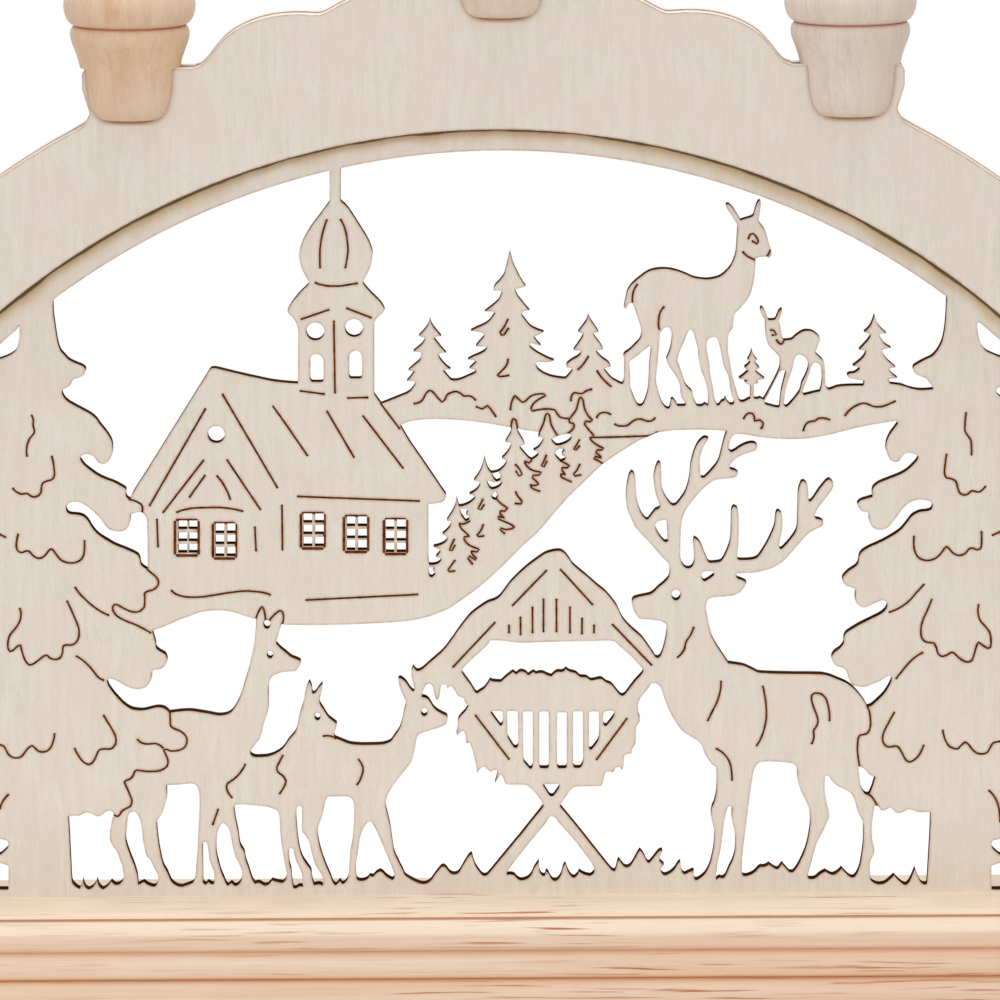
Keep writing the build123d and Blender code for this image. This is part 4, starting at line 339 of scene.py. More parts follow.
def dress(piece, *materials, kinds=None):
    """Gives a piece these materials in place of what it has, and each face its own by its kind."""
    piece.data.materials.clear()
    for material in materials:
        piece.data.materials.append(material)
    if kinds is not None:
        piece.data.polygons.foreach_set("material_index", kinds)


def smooth_copy(name, node, body, slot_name, sharp_angle, material):
    """A copy of a CAD node with its doubles merged and its round faces shaded smooth."""
    places, faces = welded(node)
    whole = (faces[:, 0] != faces[:, 1]) & (faces[:, 1] != faces[:, 2]) & (faces[:, 2] != faces[:, 0])
    return new_piece(name, node, places, faces[whole], body, slot_name, material, sharp_angle=sharp_angle)


def places_of(mesh):
    """The places of a mesh's vertices, one to a row."""
    places = np.empty(len(mesh.vertices) * 3)
    mesh.vertices.foreach_get("co", places)
    return places.reshape(-1, 3)


def welded(node):
    """A CAD node's places with their doubles merged on a fine grid, and its triangles."""
    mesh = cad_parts[node].data
    places = places_of(mesh)
    corners = np.empty(len(mesh.polygons) * 3, int)
    mesh.polygons.foreach_get("vertices", corners)
    keys = np.round(places * GRID_STEPS_PER_METRE).astype(np.int64)
    _, first, index = np.unique(keys, axis=0, return_index=True, return_inverse=True)
    return places[first], index.reshape(-1)[corners].reshape(-1, 3)


def grid_faces(rows, columns):
    """Faces between rows of as many points each, every row closed on itself."""
    row, column = np.meshgrid(np.arange(rows - 1), np.arange(columns), indexing="ij")
    after = (column + 1) % columns
    return np.stack([row * columns + column, row * columns + after, (row + 1) * columns + after,
        (row + 1) * columns + column], axis=-1).reshape(-1, 4).tolist()


def upright(node):
    """The middle of the foot, the radius and the height of an upright round node, by its box."""
    low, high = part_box(node)
    foot = np.array([(low.x + high.x) / 2, (low.y + high.y) / 2, low.z])
    return foot, (high.x - low.x) / 2, high.z - low.z


def turned(profile, centre, steps):
    """A surface of revolution about the upright line through a centre.

    Row i, column j is the profile's radius i at angle 2*pi*j/steps, at the profile's height i. Where
    the profile starts or ends at no radius, the row is one point and its ring is closed by a fan.
    """
    profile = np.asarray(profile, float)
    low = profile[0, 0] == 0
    high = profile[-1, 0] == 0
    rings = profile[int(low):len(profile) - int(high)]
    angle = np.arange(steps) * 2 * math.pi / steps
    across = rings[:, :1] * np.cos(angle)
    deep = rings[:, :1] * np.sin(angle)
    up = np.repeat(rings[:, 1:], steps, axis=1)
    vertices = np.stack([across, deep, up], axis=-1).reshape(-1, 3)
    faces = grid_faces(len(rings), steps)
    here = np.arange(steps)
    after = (here + 1) % steps
    if low:
        vertices = np.vstack([vertices, [0, 0, profile[0, 1]]])
        pole = np.full(steps, len(vertices) - 1)
        faces += np.column_stack([pole, after, here]).tolist()
    if high:
        vertices = np.vstack([vertices, [0, 0, profile[-1, 1]]])
        pole = np.full(steps, len(vertices) - 1)
        top = (len(rings) - 1) * steps
        faces += np.column_stack([pole, top + here, top + after]).tolist()
    return vertices + np.asarray(centre, float), faces


def tube(path, radius, sides):
    """A closed tube along a path.

    At each point the ring lies in the plane square to the path's direction, on a frame that is
    carried along with the least turn, and both ends are closed by one face.
    """
    path = np.asarray(path, float)
    ahead = np.gradient(path, axis=0)
    ahead /= np.linalg.norm(ahead, axis=1, keepdims=True)
    out = np.cross(ahead[0], OBLIQUE)
    outs = []
    for direction in ahead:
        out = out - direction * (out @ direction)
        out = out / np.linalg.norm(out)
        outs.append(out)
    outs = np.array(outs)
    others = np.cross(ahead, outs)
    angle = np.arange(sides) * 2 * math.pi / sides
    ring = outs[:, None] * np.cos(angle)[:, None] + others[:, None] * np.sin(angle)[:, None]
    vertices = (path[:, None] + ring * radius).reshape(-1, 3)
    faces = grid_faces(len(path), sides)
    last = (len(path) - 1) * sides
    faces.append(list(range(sides))[::-1])
    faces.append(list(range(last, last + sides)))
    return vertices, faces


def threaded(vertices, centre, low, high, depth, pitch):
    """Vertices with a thread cut into them between two heights.

    Each moves towards the upright line through the centre by half the depth times one less the cosine
    of its height in pitches less its angle in turns. The thread runs out over a pitch at both ends.
    """
    offset = vertices - np.asarray(centre, float)
    radius = np.hypot(offset[:, 0], offset[:, 1])
    turn = np.arctan2(offset[:, 1], offset[:, 0]) / (2 * math.pi)
    height = vertices[:, 2]
    fade = np.clip((height - low) / pitch, 0, 1) * np.clip((high - height) / pitch, 0, 1)
    cut = depth * fade * (1 - np.cos(2 * math.pi * (height / pitch - turn))) / 2
    ratio = np.where(radius > 2 * depth, 1 - cut / np.maximum(radius, depth), 1.0)
    offset[:, :2] *= ratio[:, None]
    return offset + np.asarray(centre, float)


def coil(start, end, rise, radius, turns, steps):
    """Points of a coil whose middle line is half an ellipse over two points of one height.

    At share t the middle line lies at the angle pi*t of the ellipse, and the coil at the angle
    2*pi*turns*t of a circle round it, square to the middle line.
    """
    t = np.linspace(0, 1, turns * steps + 1)[:, None]
    start, end = np.asarray(start, float), np.asarray(end, float)
    half = (end - start) / 2
    up = np.array([0.0, 0.0, rise])
    middle = (start + end) / 2 - half * np.cos(math.pi * t) + up * np.sin(math.pi * t)
    ahead = half * np.sin(math.pi * t) + up * np.cos(math.pi * t)
    ahead /= np.linalg.norm(ahead, axis=1, keepdims=True)
    out = np.cross(ahead, (0.0, 1.0, 0.0))
    angle = 2 * math.pi * turns * t
    return middle + radius * (out * np.cos(angle) + np.array([0.0, 1.0, 0.0]) * np.sin(angle))


def joined(surfaces):
    """Several surfaces of vertices and faces as one."""
    vertices, faces = [], []
    for more_vertices, more_faces in surfaces:
        count = sum(len(part) for part in vertices)
        vertices.append(np.asarray(more_vertices, float))
        faces += [[corner + count for corner in face] for face in more_faces]
    return np.vstack(vertices), faces


# The laser-cut sheet

# The triangulation works in millimetres, and merges points that are this near
MILLIMETRES = 1000.0
SAME_PLACE = 1e-4

# Kinds of a cut sheet's faces, in the order of its materials
FACE, KERF, CUT = range(3)

# A vertex on a sheet's front lies no further than this behind the foremost one
FRONT_MARGIN = 1e-5

# A side that bends less than this runs straight, and one that bends more takes at most so many steps
STRAIGHT_BEND = 0.02
MOST_STEPS = 12

# Points of the half circle at a kerf's end, with the two where it meets the sides
PIERCE_POINTS = 7


def outline_loops(node):
    """The closed outlines of a flat node's front face, each an array of places across and up."""
    places, faces = welded(node)
    front = places[:, 1] < places[:, 1].min() + FRONT_MARGIN
    pairs = set(directed_edges(faces[front[faces].all(axis=1)]))
    following = {a: b for a, b in pairs if (b, a) not in pairs}
    loops = []
    while following:
        start, here = following.popitem()
        loop = [start]
        while here != start:
            loop.append(here)
            here = following.pop(here)
        loops.append(places[loop][:, [0, 2]])
    return loops


def eased(points, closed, sharp, spacing):
    """Points of a curve through all given points, straight on long sides and kept sharp at corners.

    At a gentle corner the curve's direction is the sum of both sides' directions, each weighted by its
    length squared, so a long side stays straight and a short one bends. At a sharp corner each side
    takes the other end's direction, mirrored in the side. Between two points runs a cubic with these
    directions, as long as the side, in steps no longer than the spacing.
    """
    ahead = np.roll(points, -1, axis=0) - points if closed else np.diff(points, axis=0)
    length = np.linalg.norm(ahead, axis=1)
    unit = ahead / length[:, None]
    start = unit.copy()
    end = unit.copy()
    before = np.roll(unit, 1, axis=0) if closed else unit[:-1]
    after = unit if closed else unit[1:]
    before_length = np.roll(length, 1) if closed else length[:-1]
    after_length = length if closed else length[1:]
    turn = np.arccos(np.clip((before * after).sum(axis=1), -1, 1))
    gentle = turn < sharp
    shared = before * before_length[:, None] ** 2 + after * after_length[:, None] ** 2
    shared /= np.linalg.norm(shared, axis=1, keepdims=True)
    if closed:
        start[gentle] = shared[gentle]
        ends_gentle = np.roll(gentle, -1)
        end[ends_gentle] = np.roll(shared, -1, axis=0)[ends_gentle]
        starts_free, ends_free = ~gentle, ~ends_gentle
    else:
        start[1:][gentle] = shared[gentle]
        end[:-1][gentle] = shared[gentle]
        starts_free = np.concatenate([[True], ~gentle])
        ends_free = np.concatenate([~gentle, [True]])
    mirror = 2 * (end * unit).sum(axis=1, keepdims=True) * unit - end
    start[starts_free & ~ends_free] = mirror[starts_free & ~ends_free]
    mirror = 2 * (start * unit).sum(axis=1, keepdims=True) * unit - start
    end[ends_free & ~starts_free] = mirror[ends_free & ~starts_free]
    out = []
    bend = np.abs(start[:, 0] * end[:, 1] - start[:, 1] * end[:, 0])
    bend += np.abs(start[:, 0] * unit[:, 1] - start[:, 1] * unit[:, 0])
    steps = np.clip(np.ceil(length / spacing), 1, MOST_STEPS)
    steps = np.where(bend < STRAIGHT_BEND, 1, steps).astype(int)
    goal = np.roll(points, -1, axis=0) if closed else points[1:]
    for i, count in enumerate(steps):
        t = (np.arange(count) / count)[:, None]
        out.append((2 * t ** 3 - 3 * t ** 2 + 1) * points[i]
            + (t ** 3 - 2 * t ** 2 + t) * start[i] * length[i]
            + (3 * t ** 2 - 2 * t ** 3) * goal[i] + (t ** 3 - t ** 2) * end[i] * length[i])
    if not closed:
        out.append(points[-1:])
    return np.vstack(out)


def kerf_outline(line, half_width, end_radius):
    """The closed outline of a kerf: its line, moved to both sides, with a round pierce at each end."""
    ahead = np.gradient(line, axis=0)
    ahead /= np.linalg.norm(ahead, axis=1, keepdims=True)
    square = np.column_stack([-ahead[:, 1], ahead[:, 0]])
    turn = np.linspace(0, math.pi, PIERCE_POINTS)[1:-1, None]
    first = line[0] + end_radius * (square[0] * -np.cos(turn) - ahead[0] * np.sin(turn))
    last = line[-1] + end_radius * (square[-1] * np.cos(turn) + ahead[-1] * np.sin(turn))
    return np.vstack([line + square * half_width, last, (line - square * half_width)[::-1], first])


def around(places, loop):
    """How many times a closed outline goes round each place, by the crossings of a level line."""
    count = np.zeros(len(places), int)
    low, high = loop.min(axis=0), loop.max(axis=0)
    near = np.flatnonzero(((places > low) & (places < high)).all(axis=1))
    x, y = places[near, :1], places[near, 1:]
    a, b = loop, np.roll(loop, -1, axis=0)
    left = (b[:, 0] - a[:, 0]) * (y - a[:, 1]) - (x - a[:, 0]) * (b[:, 1] - a[:, 1])
    rising = (a[:, 1] <= y) & (b[:, 1] > y) & (left > 0)
    falling = (a[:, 1] > y) & (b[:, 1] <= y) & (left < 0)
    count[near] = rising.sum(axis=1) - falling.sum(axis=1)
    return count


def cut_sheet(border, holes, grooves, front, floor, back):
    """A sheet with a border, holes and grooves that may cross each other, as one closed mesh.

    All outlines go into one constrained triangulation, and a triangle is wood where its middle lies
    within the border and in no hole. The back is all wood, the front is the wood outside the grooves,
    and the rest lies at the grooves' floor. Each edge with no wood beyond it gets a wall in two bands,
    above and below that floor, and each edge towards a groove gets the upper band alone.
    Returns the vertices, the faces and the kind of each face.
    """
    outlines = [border] + holes + grooves
    sizes = [len(outline) for outline in outlines]
    starts = np.cumsum([0] + sizes[:-1])
    edges = []
    for first, size in zip(starts, sizes):
        ids = np.arange(size)
        edges.append(np.column_stack([first + ids, first + (ids + 1) % size]))
    points = (np.vstack(outlines) * MILLIMETRES).tolist()
    made = delaunay_2d_cdt([Vector(p) for p in points], np.vstack(edges).tolist(), [], 0, SAME_PLACE)
    places = np.array([tuple(v) for v in made[0]]) / MILLIMETRES
    faces = np.array([f for f in made[2] if len(f) == 3])
    corner = places[faces]
    side, other = corner[:, 1] - corner[:, 0], corner[:, 2] - corner[:, 0]
    area = side[:, 0] * other[:, 1] - side[:, 1] * other[:, 0]
    faces[area < 0] = faces[area < 0][:, ::-1]
    middle = corner.mean(axis=1)
    wood = around(middle, border) != 0
    for hole in holes:
        wood &= around(middle, hole) == 0
    sunk = np.zeros(len(faces), bool)
    for groove in grooves:
        sunk |= around(middle, groove) != 0
    top, low = faces[wood & ~sunk], faces[wood & sunk]
    top_edges, low_edges = directed_edges(top), directed_edges(low)
    top_pairs, low_pairs = set(top_edges), set(low_edges)
    rims = [edge for edge in top_edges if edge[::-1] not in top_pairs]
    to_groove = [edge for edge in rims if edge[::-1] in low_pairs]
    to_open = [edge for edge in rims if edge[::-1] not in low_pairs]
    pairs = top_pairs | low_pairs
    low_to_open = [edge for edge in low_edges if edge[::-1] not in pairs]
    count = len(places)
    vertices = np.vstack([np.column_stack([places[:, 0], np.full(count, depth), places[:, 1]])
        for depth in (front, floor, back)])
    all_wood = np.vstack([top, low])[:, ::-1]
    parts = [(FACE, top.tolist()), (KERF, (low + count).tolist()), (FACE, (all_wood + 2 * count).tolist()),
        (KERF, band(to_groove, count, 0)), (CUT, band(to_open, count, 0)),
        (CUT, band(to_open + low_to_open, count, 1))]
    faces = [face for _, part in parts for face in part]
    kinds = np.repeat([kind for kind, _ in parts], [len(part) for _, part in parts])
    used, corners = np.unique(np.concatenate(faces), return_inverse=True)
    ends = np.cumsum([len(face) for face in faces])
    return vertices[used], [part.tolist() for part in np.split(corners, ends[:-1])], kinds


def directed_edges(faces):
    """The three edges of each triangle, in its own order."""
    return list(map(tuple, np.vstack([faces[:, [0, 1]], faces[:, [1, 2]], faces[:, [2, 0]]]).tolist()))


def band(edges, count, level):
    """A wall face under each edge, from one level of the vertices to the next."""
    edges = np.asarray(edges, int).reshape(-1, 2)
    start, end = edges[:, 0] + level * count, edges[:, 1] + level * count
    return np.column_stack([end, start, start + count, end + count]).tolist()


def sheet_outlines(node, looks):
    """A flat node's outlines with their gentle corners eased, from the border to the smallest."""
    loops = [eased(loop, True, looks.sharp_turn, looks.curve_step) for loop in outline_loops(node)]
    return sorted(loops, key=lambda loop: -np.prod(loop.max(axis=0) - loop.min(axis=0)))


def new_sheet(name, node, loops, kerfs, floor, *materials):
    """A laser-cut sheet in place of a flat node, with materials for its faces, kerfs and cuts."""
    low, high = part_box(node)
    vertices, faces, kinds = cut_sheet(loops[0], loops[1:], kerfs, low.y, floor, high.y)
    new_piece(name, node, vertices, faces, "frame", "plywood", *materials, kinds=kinds)


# Shader groups

# Kinds of a group's sockets: an input's follows from how many numbers it holds
INPUT_KINDS = {1: "NodeSocketFloat", 3: "NodeSocketVector", 4: "NodeSocketColor"}
OUTPUT_KINDS = {"Colour": "NodeSocketColor", "Height": "NodeSocketFloat"}

# What a group's colours are until a material sets them
PALE = (0.8, 0.7, 0.6, 1)
DEEP = (0.3, 0.15, 0.07, 1)

# Rays that feel for near surfaces
NEAR_RAYS = 6


def group_with(name, inputs, outputs=("Colour",)):
    """A new shader group with these inputs at these values, as (wiring, what is given, what goes out)."""
    tree = bpy.data.node_groups.new(name, "ShaderNodeTree")
    for socket_name, value in inputs.items():
        kind = INPUT_KINDS[np.size(value)]
        tree.interface.new_socket(socket_name, in_out="INPUT", socket_type=kind).default_value = value
    for socket_name in outputs:
        tree.interface.new_socket(socket_name, in_out="OUTPUT", socket_type=OUTPUT_KINDS[socket_name])
    given, out = tree.nodes.new("NodeGroupInput"), tree.nodes.new("NodeGroupOutput")
    return Wiring(tree), given.outputs, out.inputs


class Wiring:
    """Short ways to add nodes to one tree and join them. Each returns the new node's output."""

    def __init__(self, tree):
        self.tree = tree

    def put(self, value, socket):
        if isinstance(value, bpy.types.NodeSocket):
            self.tree.links.new(value, socket)
        else:
            socket.default_value = value

    def math(self, operation, a, b=0.0, clamp=False):
        node = self.tree.nodes.new("ShaderNodeMath")
        node.operation = operation
        node.use_clamp = clamp
        self.put(a, node.inputs[0])
        self.put(b, node.inputs[1])
        return node.outputs[0]

    def vector(self, operation, a, b=(0, 0, 0), output="Vector"):
        node = self.tree.nodes.new("ShaderNodeVectorMath")
        node.operation = operation
        self.put(a, node.inputs[0])
        self.put(b, node.inputs[1])
        return node.outputs[output]

    def axes(self, value):
        """The outputs X, Y and Z of a vector."""
        node = self.tree.nodes.new("ShaderNodeSeparateXYZ")
        self.put(value, node.inputs[0])
        return node.outputs

    def noise(self, place, scale, detail, roughness=0.5, distortion=0.0):
        node = self.tree.nodes.new("ShaderNodeTexNoise")
        self.put(place, node.inputs["Vector"])
        self.put(scale, node.inputs["Scale"])
        self.put(detail, node.inputs["Detail"])
        self.put(roughness, node.inputs["Roughness"])
        self.put(distortion, node.inputs["Distortion"])
        return node.outputs[0]

    def span(self, value, low, high, to_low=0.0, to_high=1.0):
        node = self.tree.nodes.new("ShaderNodeMapRange")
        node.interpolation_type = "SMOOTHSTEP"
        self.put(value, node.inputs["Value"])
        self.put(low, node.inputs["From Min"])
        self.put(high, node.inputs["From Max"])
        self.put(to_low, node.inputs["To Min"])
        self.put(to_high, node.inputs["To Max"])
        return node.outputs["Result"]

    def mix(self, share, a, b):
        node = self.tree.nodes.new("ShaderNodeMix")
        node.data_type = "RGBA"
        self.put(share, node.inputs[0])
        self.put(a, node.inputs[6])
        self.put(b, node.inputs[7])
        return node.outputs[2]

    def place(self, kind="Object"):
        return self.tree.nodes.new("ShaderNodeTexCoord").outputs[kind]

    def openness(self, reach, inside=False, own_piece=True):
        """The share of near rays that meet nothing, of those within the piece or outside it."""
        node = self.tree.nodes.new("ShaderNodeAmbientOcclusion")
        node.inside = inside
        node.only_local = own_piece
        node.samples = NEAR_RAYS
        self.put(reach, node.inputs["Distance"])
        return node.outputs["AO"]

    def group(self, tree, **values):
        """The node of a group with these inputs, in whose names _ stands for a space."""
        node = self.tree.nodes.new("ShaderNodeGroup")
        node.node_tree = tree
        for name, value in values.items():
            self.put(value, node.inputs[name.replace("_", " ")])
        return node


def wood_group():
    """Wood: wide streaks, fine fibres, soft clouds and small pores, all stretched along the grain."""
    w, given, out = group_with("Wood grain", {"Light wood": PALE, "Dark wood": (0.6, 0.5, 0.4, 1),
        "Cloud tint": (0.8, 0.6, 0.5, 1), "Grain": (100, 100, 10), "Streaks": 0.5, "Fibres": 0.5,
        "Clouds": 0.5, "Cloud size": 0.03, "Pores": 0.5}, ("Colour", "Height"))
    place = w.place()
    along = w.vector("MULTIPLY", place, given["Grain"])
    streak = w.noise(along, scale=1.0, detail=3.0, roughness=0.6, distortion=0.6)
    fibre = w.noise(along, scale=6.0, detail=3.0, roughness=0.7)
    pore = w.noise(along, scale=14.0, detail=1.0)
    cloud = w.noise(place, scale=w.math("DIVIDE", 1.0, given["Cloud size"]), detail=2.0, distortion=0.4)
    streak = w.span(streak, 0.3, 0.72)
    fibre = w.span(fibre, 0.25, 0.75)
    pore = w.span(pore, 0.64, 0.74)
    share = w.math("MULTIPLY", streak, given["Streaks"])
    share = w.math("ADD", share, w.math("MULTIPLY", fibre, given["Fibres"]))
    share = w.math("ADD", share, w.math("MULTIPLY", pore, given["Pores"]), clamp=True)
    colour = w.mix(share, given["Light wood"], given["Dark wood"])
    tint = w.math("MULTIPLY", w.span(cloud, 0.35, 0.7), given["Clouds"], clamp=True)
    w.put(w.mix(tint, colour, given["Cloud tint"]), out["Colour"])
    w.put(w.math("SUBTRACT", fibre, pore), out["Height"])
    return w.tree


def scorch_group():
    """A brown rim on a sheet's face beside each laser cut.

    Rays inside the wood that meet a wall within the rim's reach tell how near a cut is.
    """
    w, given, out = group_with("Laser scorch",
        {"Colour": PALE, "Scorch": (0.1, 0.05, 0.02, 1), "Reach": 0.0005, "Strength": 0.5})
    near = w.openness(given["Reach"], inside=True)
    patchy = w.span(w.noise(w.place(), scale=500.0, detail=2.0), 0.3, 0.7, 0.4, 1.0)
    rim = w.math("MULTIPLY", w.span(near, 0.97, 0.5), given["Strength"], clamp=True)
    w.put(w.mix(w.math("MULTIPLY", rim, patchy), given["Colour"], given["Scorch"]), out["Colour"])
    return w.tree


def seam_shadow_group():
    """Painted shadow of the arch plates on the picture: a warm tone and a dark line along their inner edge.

    Their shares fall from the seam's circle inwards, by the distance from the circle's middle.
    """
    w, given, out = group_with("Painted seam shadow", {"Colour": PALE, "Tone": DEEP, "Line": (0.1, 0.07, 0.03, 1),
        "Middle": (0, 0, 0), "Radius": 0.18, "Reach": 0.002, "Line reach": 0.0009, "Strength": 0.6})
    place = w.place()
    out_from = w.vector("MULTIPLY", w.vector("SUBTRACT", place, given["Middle"]), (1, 0, 1))
    inwards = w.math("SUBTRACT", given["Radius"], w.vector("LENGTH", out_from, output="Value"))
    uneven = w.span(w.noise(place, scale=90.0, detail=2.0), 0.3, 0.7, 0.75, 1.25)
    reach = w.math("MULTIPLY", given["Reach"], uneven)
    # The warm tone is painted shadow, falling off inwards from the plates' inner edge
    share = w.span(w.math("DIVIDE", inwards, reach), 1.0, 0.0)
    share = w.math("MULTIPLY", share, given["Strength"], clamp=True)
    toned = w.mix(share, given["Colour"], given["Tone"])
    # The dark line is painted shadow right at the plates' inner edge
    line_reach = w.math("MULTIPLY", given["Line reach"], uneven)
    line = w.span(w.math("DIVIDE", inwards, line_reach), 1.1, 0.7)
    line = w.math("MULTIPLY", line, given["Strength"], clamp=True)
    w.put(w.mix(line, toned, given["Line"]), out["Colour"])
    return w.tree


def plies_group():
    """The edge of a plywood sheet: plies of two tones across its thickness, with laser streaks."""
    w, given, out = group_with("Plies", {"Face ply": PALE, "Core ply": (0.5, 0.3, 0.2, 1),
        "Middle": 0.0, "Core half": 0.0007}, ("Colour", "Height"))
    place = w.place()
    depth = w.math("ABSOLUTE", w.math("SUBTRACT", w.axes(place)["Y"], given["Middle"]))
    core = w.span(w.math("DIVIDE", depth, given["Core half"]), 1.08, 0.92)
    along = w.vector("MULTIPLY", place, (1800, 120, 1800))
    streak = w.noise(along, scale=1.0, detail=3.0, roughness=0.7)
    uneven = w.span(streak, 0.3, 0.7)
    share = w.math("ADD", w.math("MULTIPLY", core, 0.6), w.math("MULTIPLY", uneven, 0.4), clamp=True)
    w.put(w.mix(share, given["Face ply"], given["Core ply"]), out["Colour"])
    w.put(streak, out["Height"])
    return w.tree


def painted_shade_group(name, own_piece):
    """Painted shade in hollows: a deeper tone by the share of near rays that meet the piece itself, or any
    piece.
    """
    w, given, out = group_with(name,
        {"Colour": PALE, "Tone": DEEP, "Reach": 0.002, "Strength": 0.8, "Starts": 0.85, "Whole": 0.3})
    near = w.openness(given["Reach"], own_piece=own_piece)
    share = w.math("MULTIPLY", w.span(near, given["Starts"], given["Whole"]), given["Strength"], clamp=True)
    w.put(w.mix(share, given["Colour"], given["Tone"]), out["Colour"])
    return w.tree


WOOD = wood_group()
SCORCH = scorch_group()
SEAM_SHADOW = seam_shadow_group()
PLIES = plies_group()
CREASE_SHADE = painted_shade_group("Painted crease shade", own_piece=True)
CONTACT_SHADOW = painted_shade_group("Painted contact shadow", own_piece=False)


def linear(colour):
    """A colour given as it looks, as the shader's linear colour with its alpha."""
    looks = np.array(colour[:3])
    return (*np.where(looks <= 0.04045, looks / 12.92, ((looks + 0.055) / 1.055) ** 2.4).tolist(), 1.0)


def new_material(name, roughness, specular=0.5):
    """An empty material with one Principled shader, as (material, wiring, shader)."""
    material = bpy.data.materials.new(name)
    material.use_nodes = True
    tree = material.node_tree
    shader = tree.nodes["Principled BSDF"]
    shader.inputs["Roughness"].default_value = roughness
    shader.inputs["Specular IOR Level"].default_value = specular
    return material, Wiring(tree), shader


def coated(w, shader, colour, height, distance, strength=0.5):
    """Feeds a colour and, through a Bump node, a height into a shader."""
    node = w.tree.nodes.new("ShaderNodeBump")
    node.inputs["Distance"].default_value = distance
    node.inputs["Strength"].default_value = strength
    w.put(height, node.inputs["Height"])
    w.put(node.outputs["Normal"], shader.inputs["Normal"])
    w.put(colour, shader.inputs["Base Color"])


def plywood_material(name, looks, seam_shadow_strength, contact_shadow_strength):
    """Pale unvarnished plywood with upright grain, browned beside its cuts, with painted shade beside its
    neighbours and painted shadow along the seam.
    """
    material, w, shader = new_material(name, roughness=0.72, specular=0.25)
    wood = w.group(WOOD, Light_wood=linear(looks.ply_light), Dark_wood=linear(looks.ply_dark),
        Cloud_tint=linear(looks.ply_cloud), Grain=(520, 520, 60), Streaks=0.3, Fibres=0.24, Clouds=0.6,
        Cloud_size=0.012, Pores=0.3)
    scorch = w.group(SCORCH, Colour=wood.outputs["Colour"], Scorch=linear(looks.scorch),
        Reach=looks.rim_reach, Strength=looks.rim_strength)
    # Painted shadow of the arch plates along their inner edge
    seam = w.group(SEAM_SHADOW, Colour=scorch.outputs["Colour"], Tone=linear(looks.seam_shadow_tone),
        Line=linear(looks.seam_shadow_line), Middle=(looks.seam_side, 0, looks.seam_rise),
        Radius=looks.seam_radius, Reach=looks.seam_shadow_reach, Line_reach=looks.seam_shadow_line_reach,
        Strength=seam_shadow_strength)
    # Painted shade where another piece is near
    contact = w.group(CONTACT_SHADOW, Colour=seam.outputs["Colour"], Tone=linear(looks.contact_shadow_tone),
        Reach=looks.contact_shadow_reach, Strength=contact_shadow_strength, Starts=0.95, Whole=0.7)
    coated(w, shader, contact.outputs["Colour"], wood.outputs["Height"], distance=0.00005)
    return material


def edge_material(name, face_ply, core_ply, span):
    """The laser-cut edge of a sheet of three even plies between two depths."""
    material, w, shader = new_material(name, roughness=0.9, specular=0.0)
    plies = w.group(PLIES, Face_ply=linear(face_ply), Core_ply=linear(core_ply), Middle=sum(span) / 2,
        Core_half=(span[1] - span[0]) / 6)
    coated(w, shader, plies.outputs["Colour"], plies.outputs["Height"], distance=0.00004)
    return material


def pine_material(name, looks):
    """Planed pine with grain along the base: pale early wood and peach streaks, a painted highlight along
    the top, and browner painted shade low on the reeds and in the grooves.
    """
    material, w, shader = new_material(name, roughness=0.6, specular=0.3)
    wide = w.group(WOOD, Light_wood=linear(looks.pine_light), Dark_wood=linear(looks.pine_dark),
        Cloud_tint=linear(looks.pine_cloud), Grain=(5, 150, 260), Streaks=0.65, Fibres=0.25, Clouds=0.5,
        Cloud_size=0.06, Pores=0.12)
    place = w.place()
    split = w.axes(place)
    # Painted highlight: the rails' wood is lighter towards the top, for the light from above
    top = w.span(split["Z"], looks.lit_top_from, looks.lit_top_from + looks.lit_top_fade, 0.0, 0.75)
    pale = w.mix(top, wide.outputs["Colour"], linear(looks.pine_lit_top))
    resin = w.noise(w.vector("MULTIPLY", place, (42, 500, 1400)), scale=1.0, detail=2.0, distortion=0.4)
    sparse = w.noise(w.vector("MULTIPLY", place, (16, 16, 75)), scale=1.0, detail=1.0)
    share = w.math("MULTIPLY", w.span(resin, 0.56, 0.7), w.span(sparse, 0.45, 0.62, 0.1, 1.0), clamp=True)
    share = w.math("MULTIPLY", share, w.span(split["X"], -0.1, 0.0, 0.25, 1.0))
    is_end = w.span(w.math("ABSOLUTE", w.axes(w.place("Normal"))["X"]), 0.6, 0.9)
    share = w.math("MULTIPLY", share, w.math("SUBTRACT", 1.0, is_end))
    streaked = w.mix(share, pale, linear(looks.pine_streak))
    from_heart = w.vector("DISTANCE", w.vector("MULTIPLY", place, (0, 1, 1)), looks.heart, output="Value")
    wave = w.math("MULTIPLY", w.noise(place, scale=50.0, detail=2.0), looks.ring_wave)
    wavy = w.math("ADD", from_heart, wave)
    rings = w.math("SINE", w.math("MULTIPLY", wavy, math.tau / looks.ring_width))
    rings = w.math("MULTIPLY", w.span(rings, 0.0, 0.95, 0.0, 0.55), is_end)
    ringed = w.mix(rings, streaked, linear(looks.pine_ring))
    below = (looks.first_groove - looks.groove_fade, looks.first_groove)
    # Painted shade on the reeds' lower parts near the grooves, for the light from above, and none low on
    # the rails
    on_reeds = w.math("MULTIPLY", w.span(split["Z"], *below, 1.0, 0.4),
        w.span(split["Z"], looks.reed_foot, looks.reed_foot + looks.foot_fade, 0.3, 1.0))
    reed_shade = w.group(CREASE_SHADE, Colour=ringed, Tone=linear(looks.pine_reed_shade), Reach=looks.reed_shade_reach,
        Strength=on_reeds, Starts=0.99, Whole=0.6)
    # Painted shade in the grooves, stronger below the first groove
    crease = w.group(CREASE_SHADE, Colour=reed_shade.outputs["Colour"], Tone=linear(looks.pine_groove_shade),
        Reach=looks.groove_shade_reach, Strength=w.span(split["Z"], *below, 0.9, 0.4), Starts=0.9, Whole=0.5)
    coated(w, shader, crease.outputs["Colour"], wide.outputs["Height"], distance=0.00008)
    return material


def blended(one, other, share):
    """A colour between two, the given share of the way to the other."""
    return tuple(a + (b - a) * share for a, b in zip(one, other))


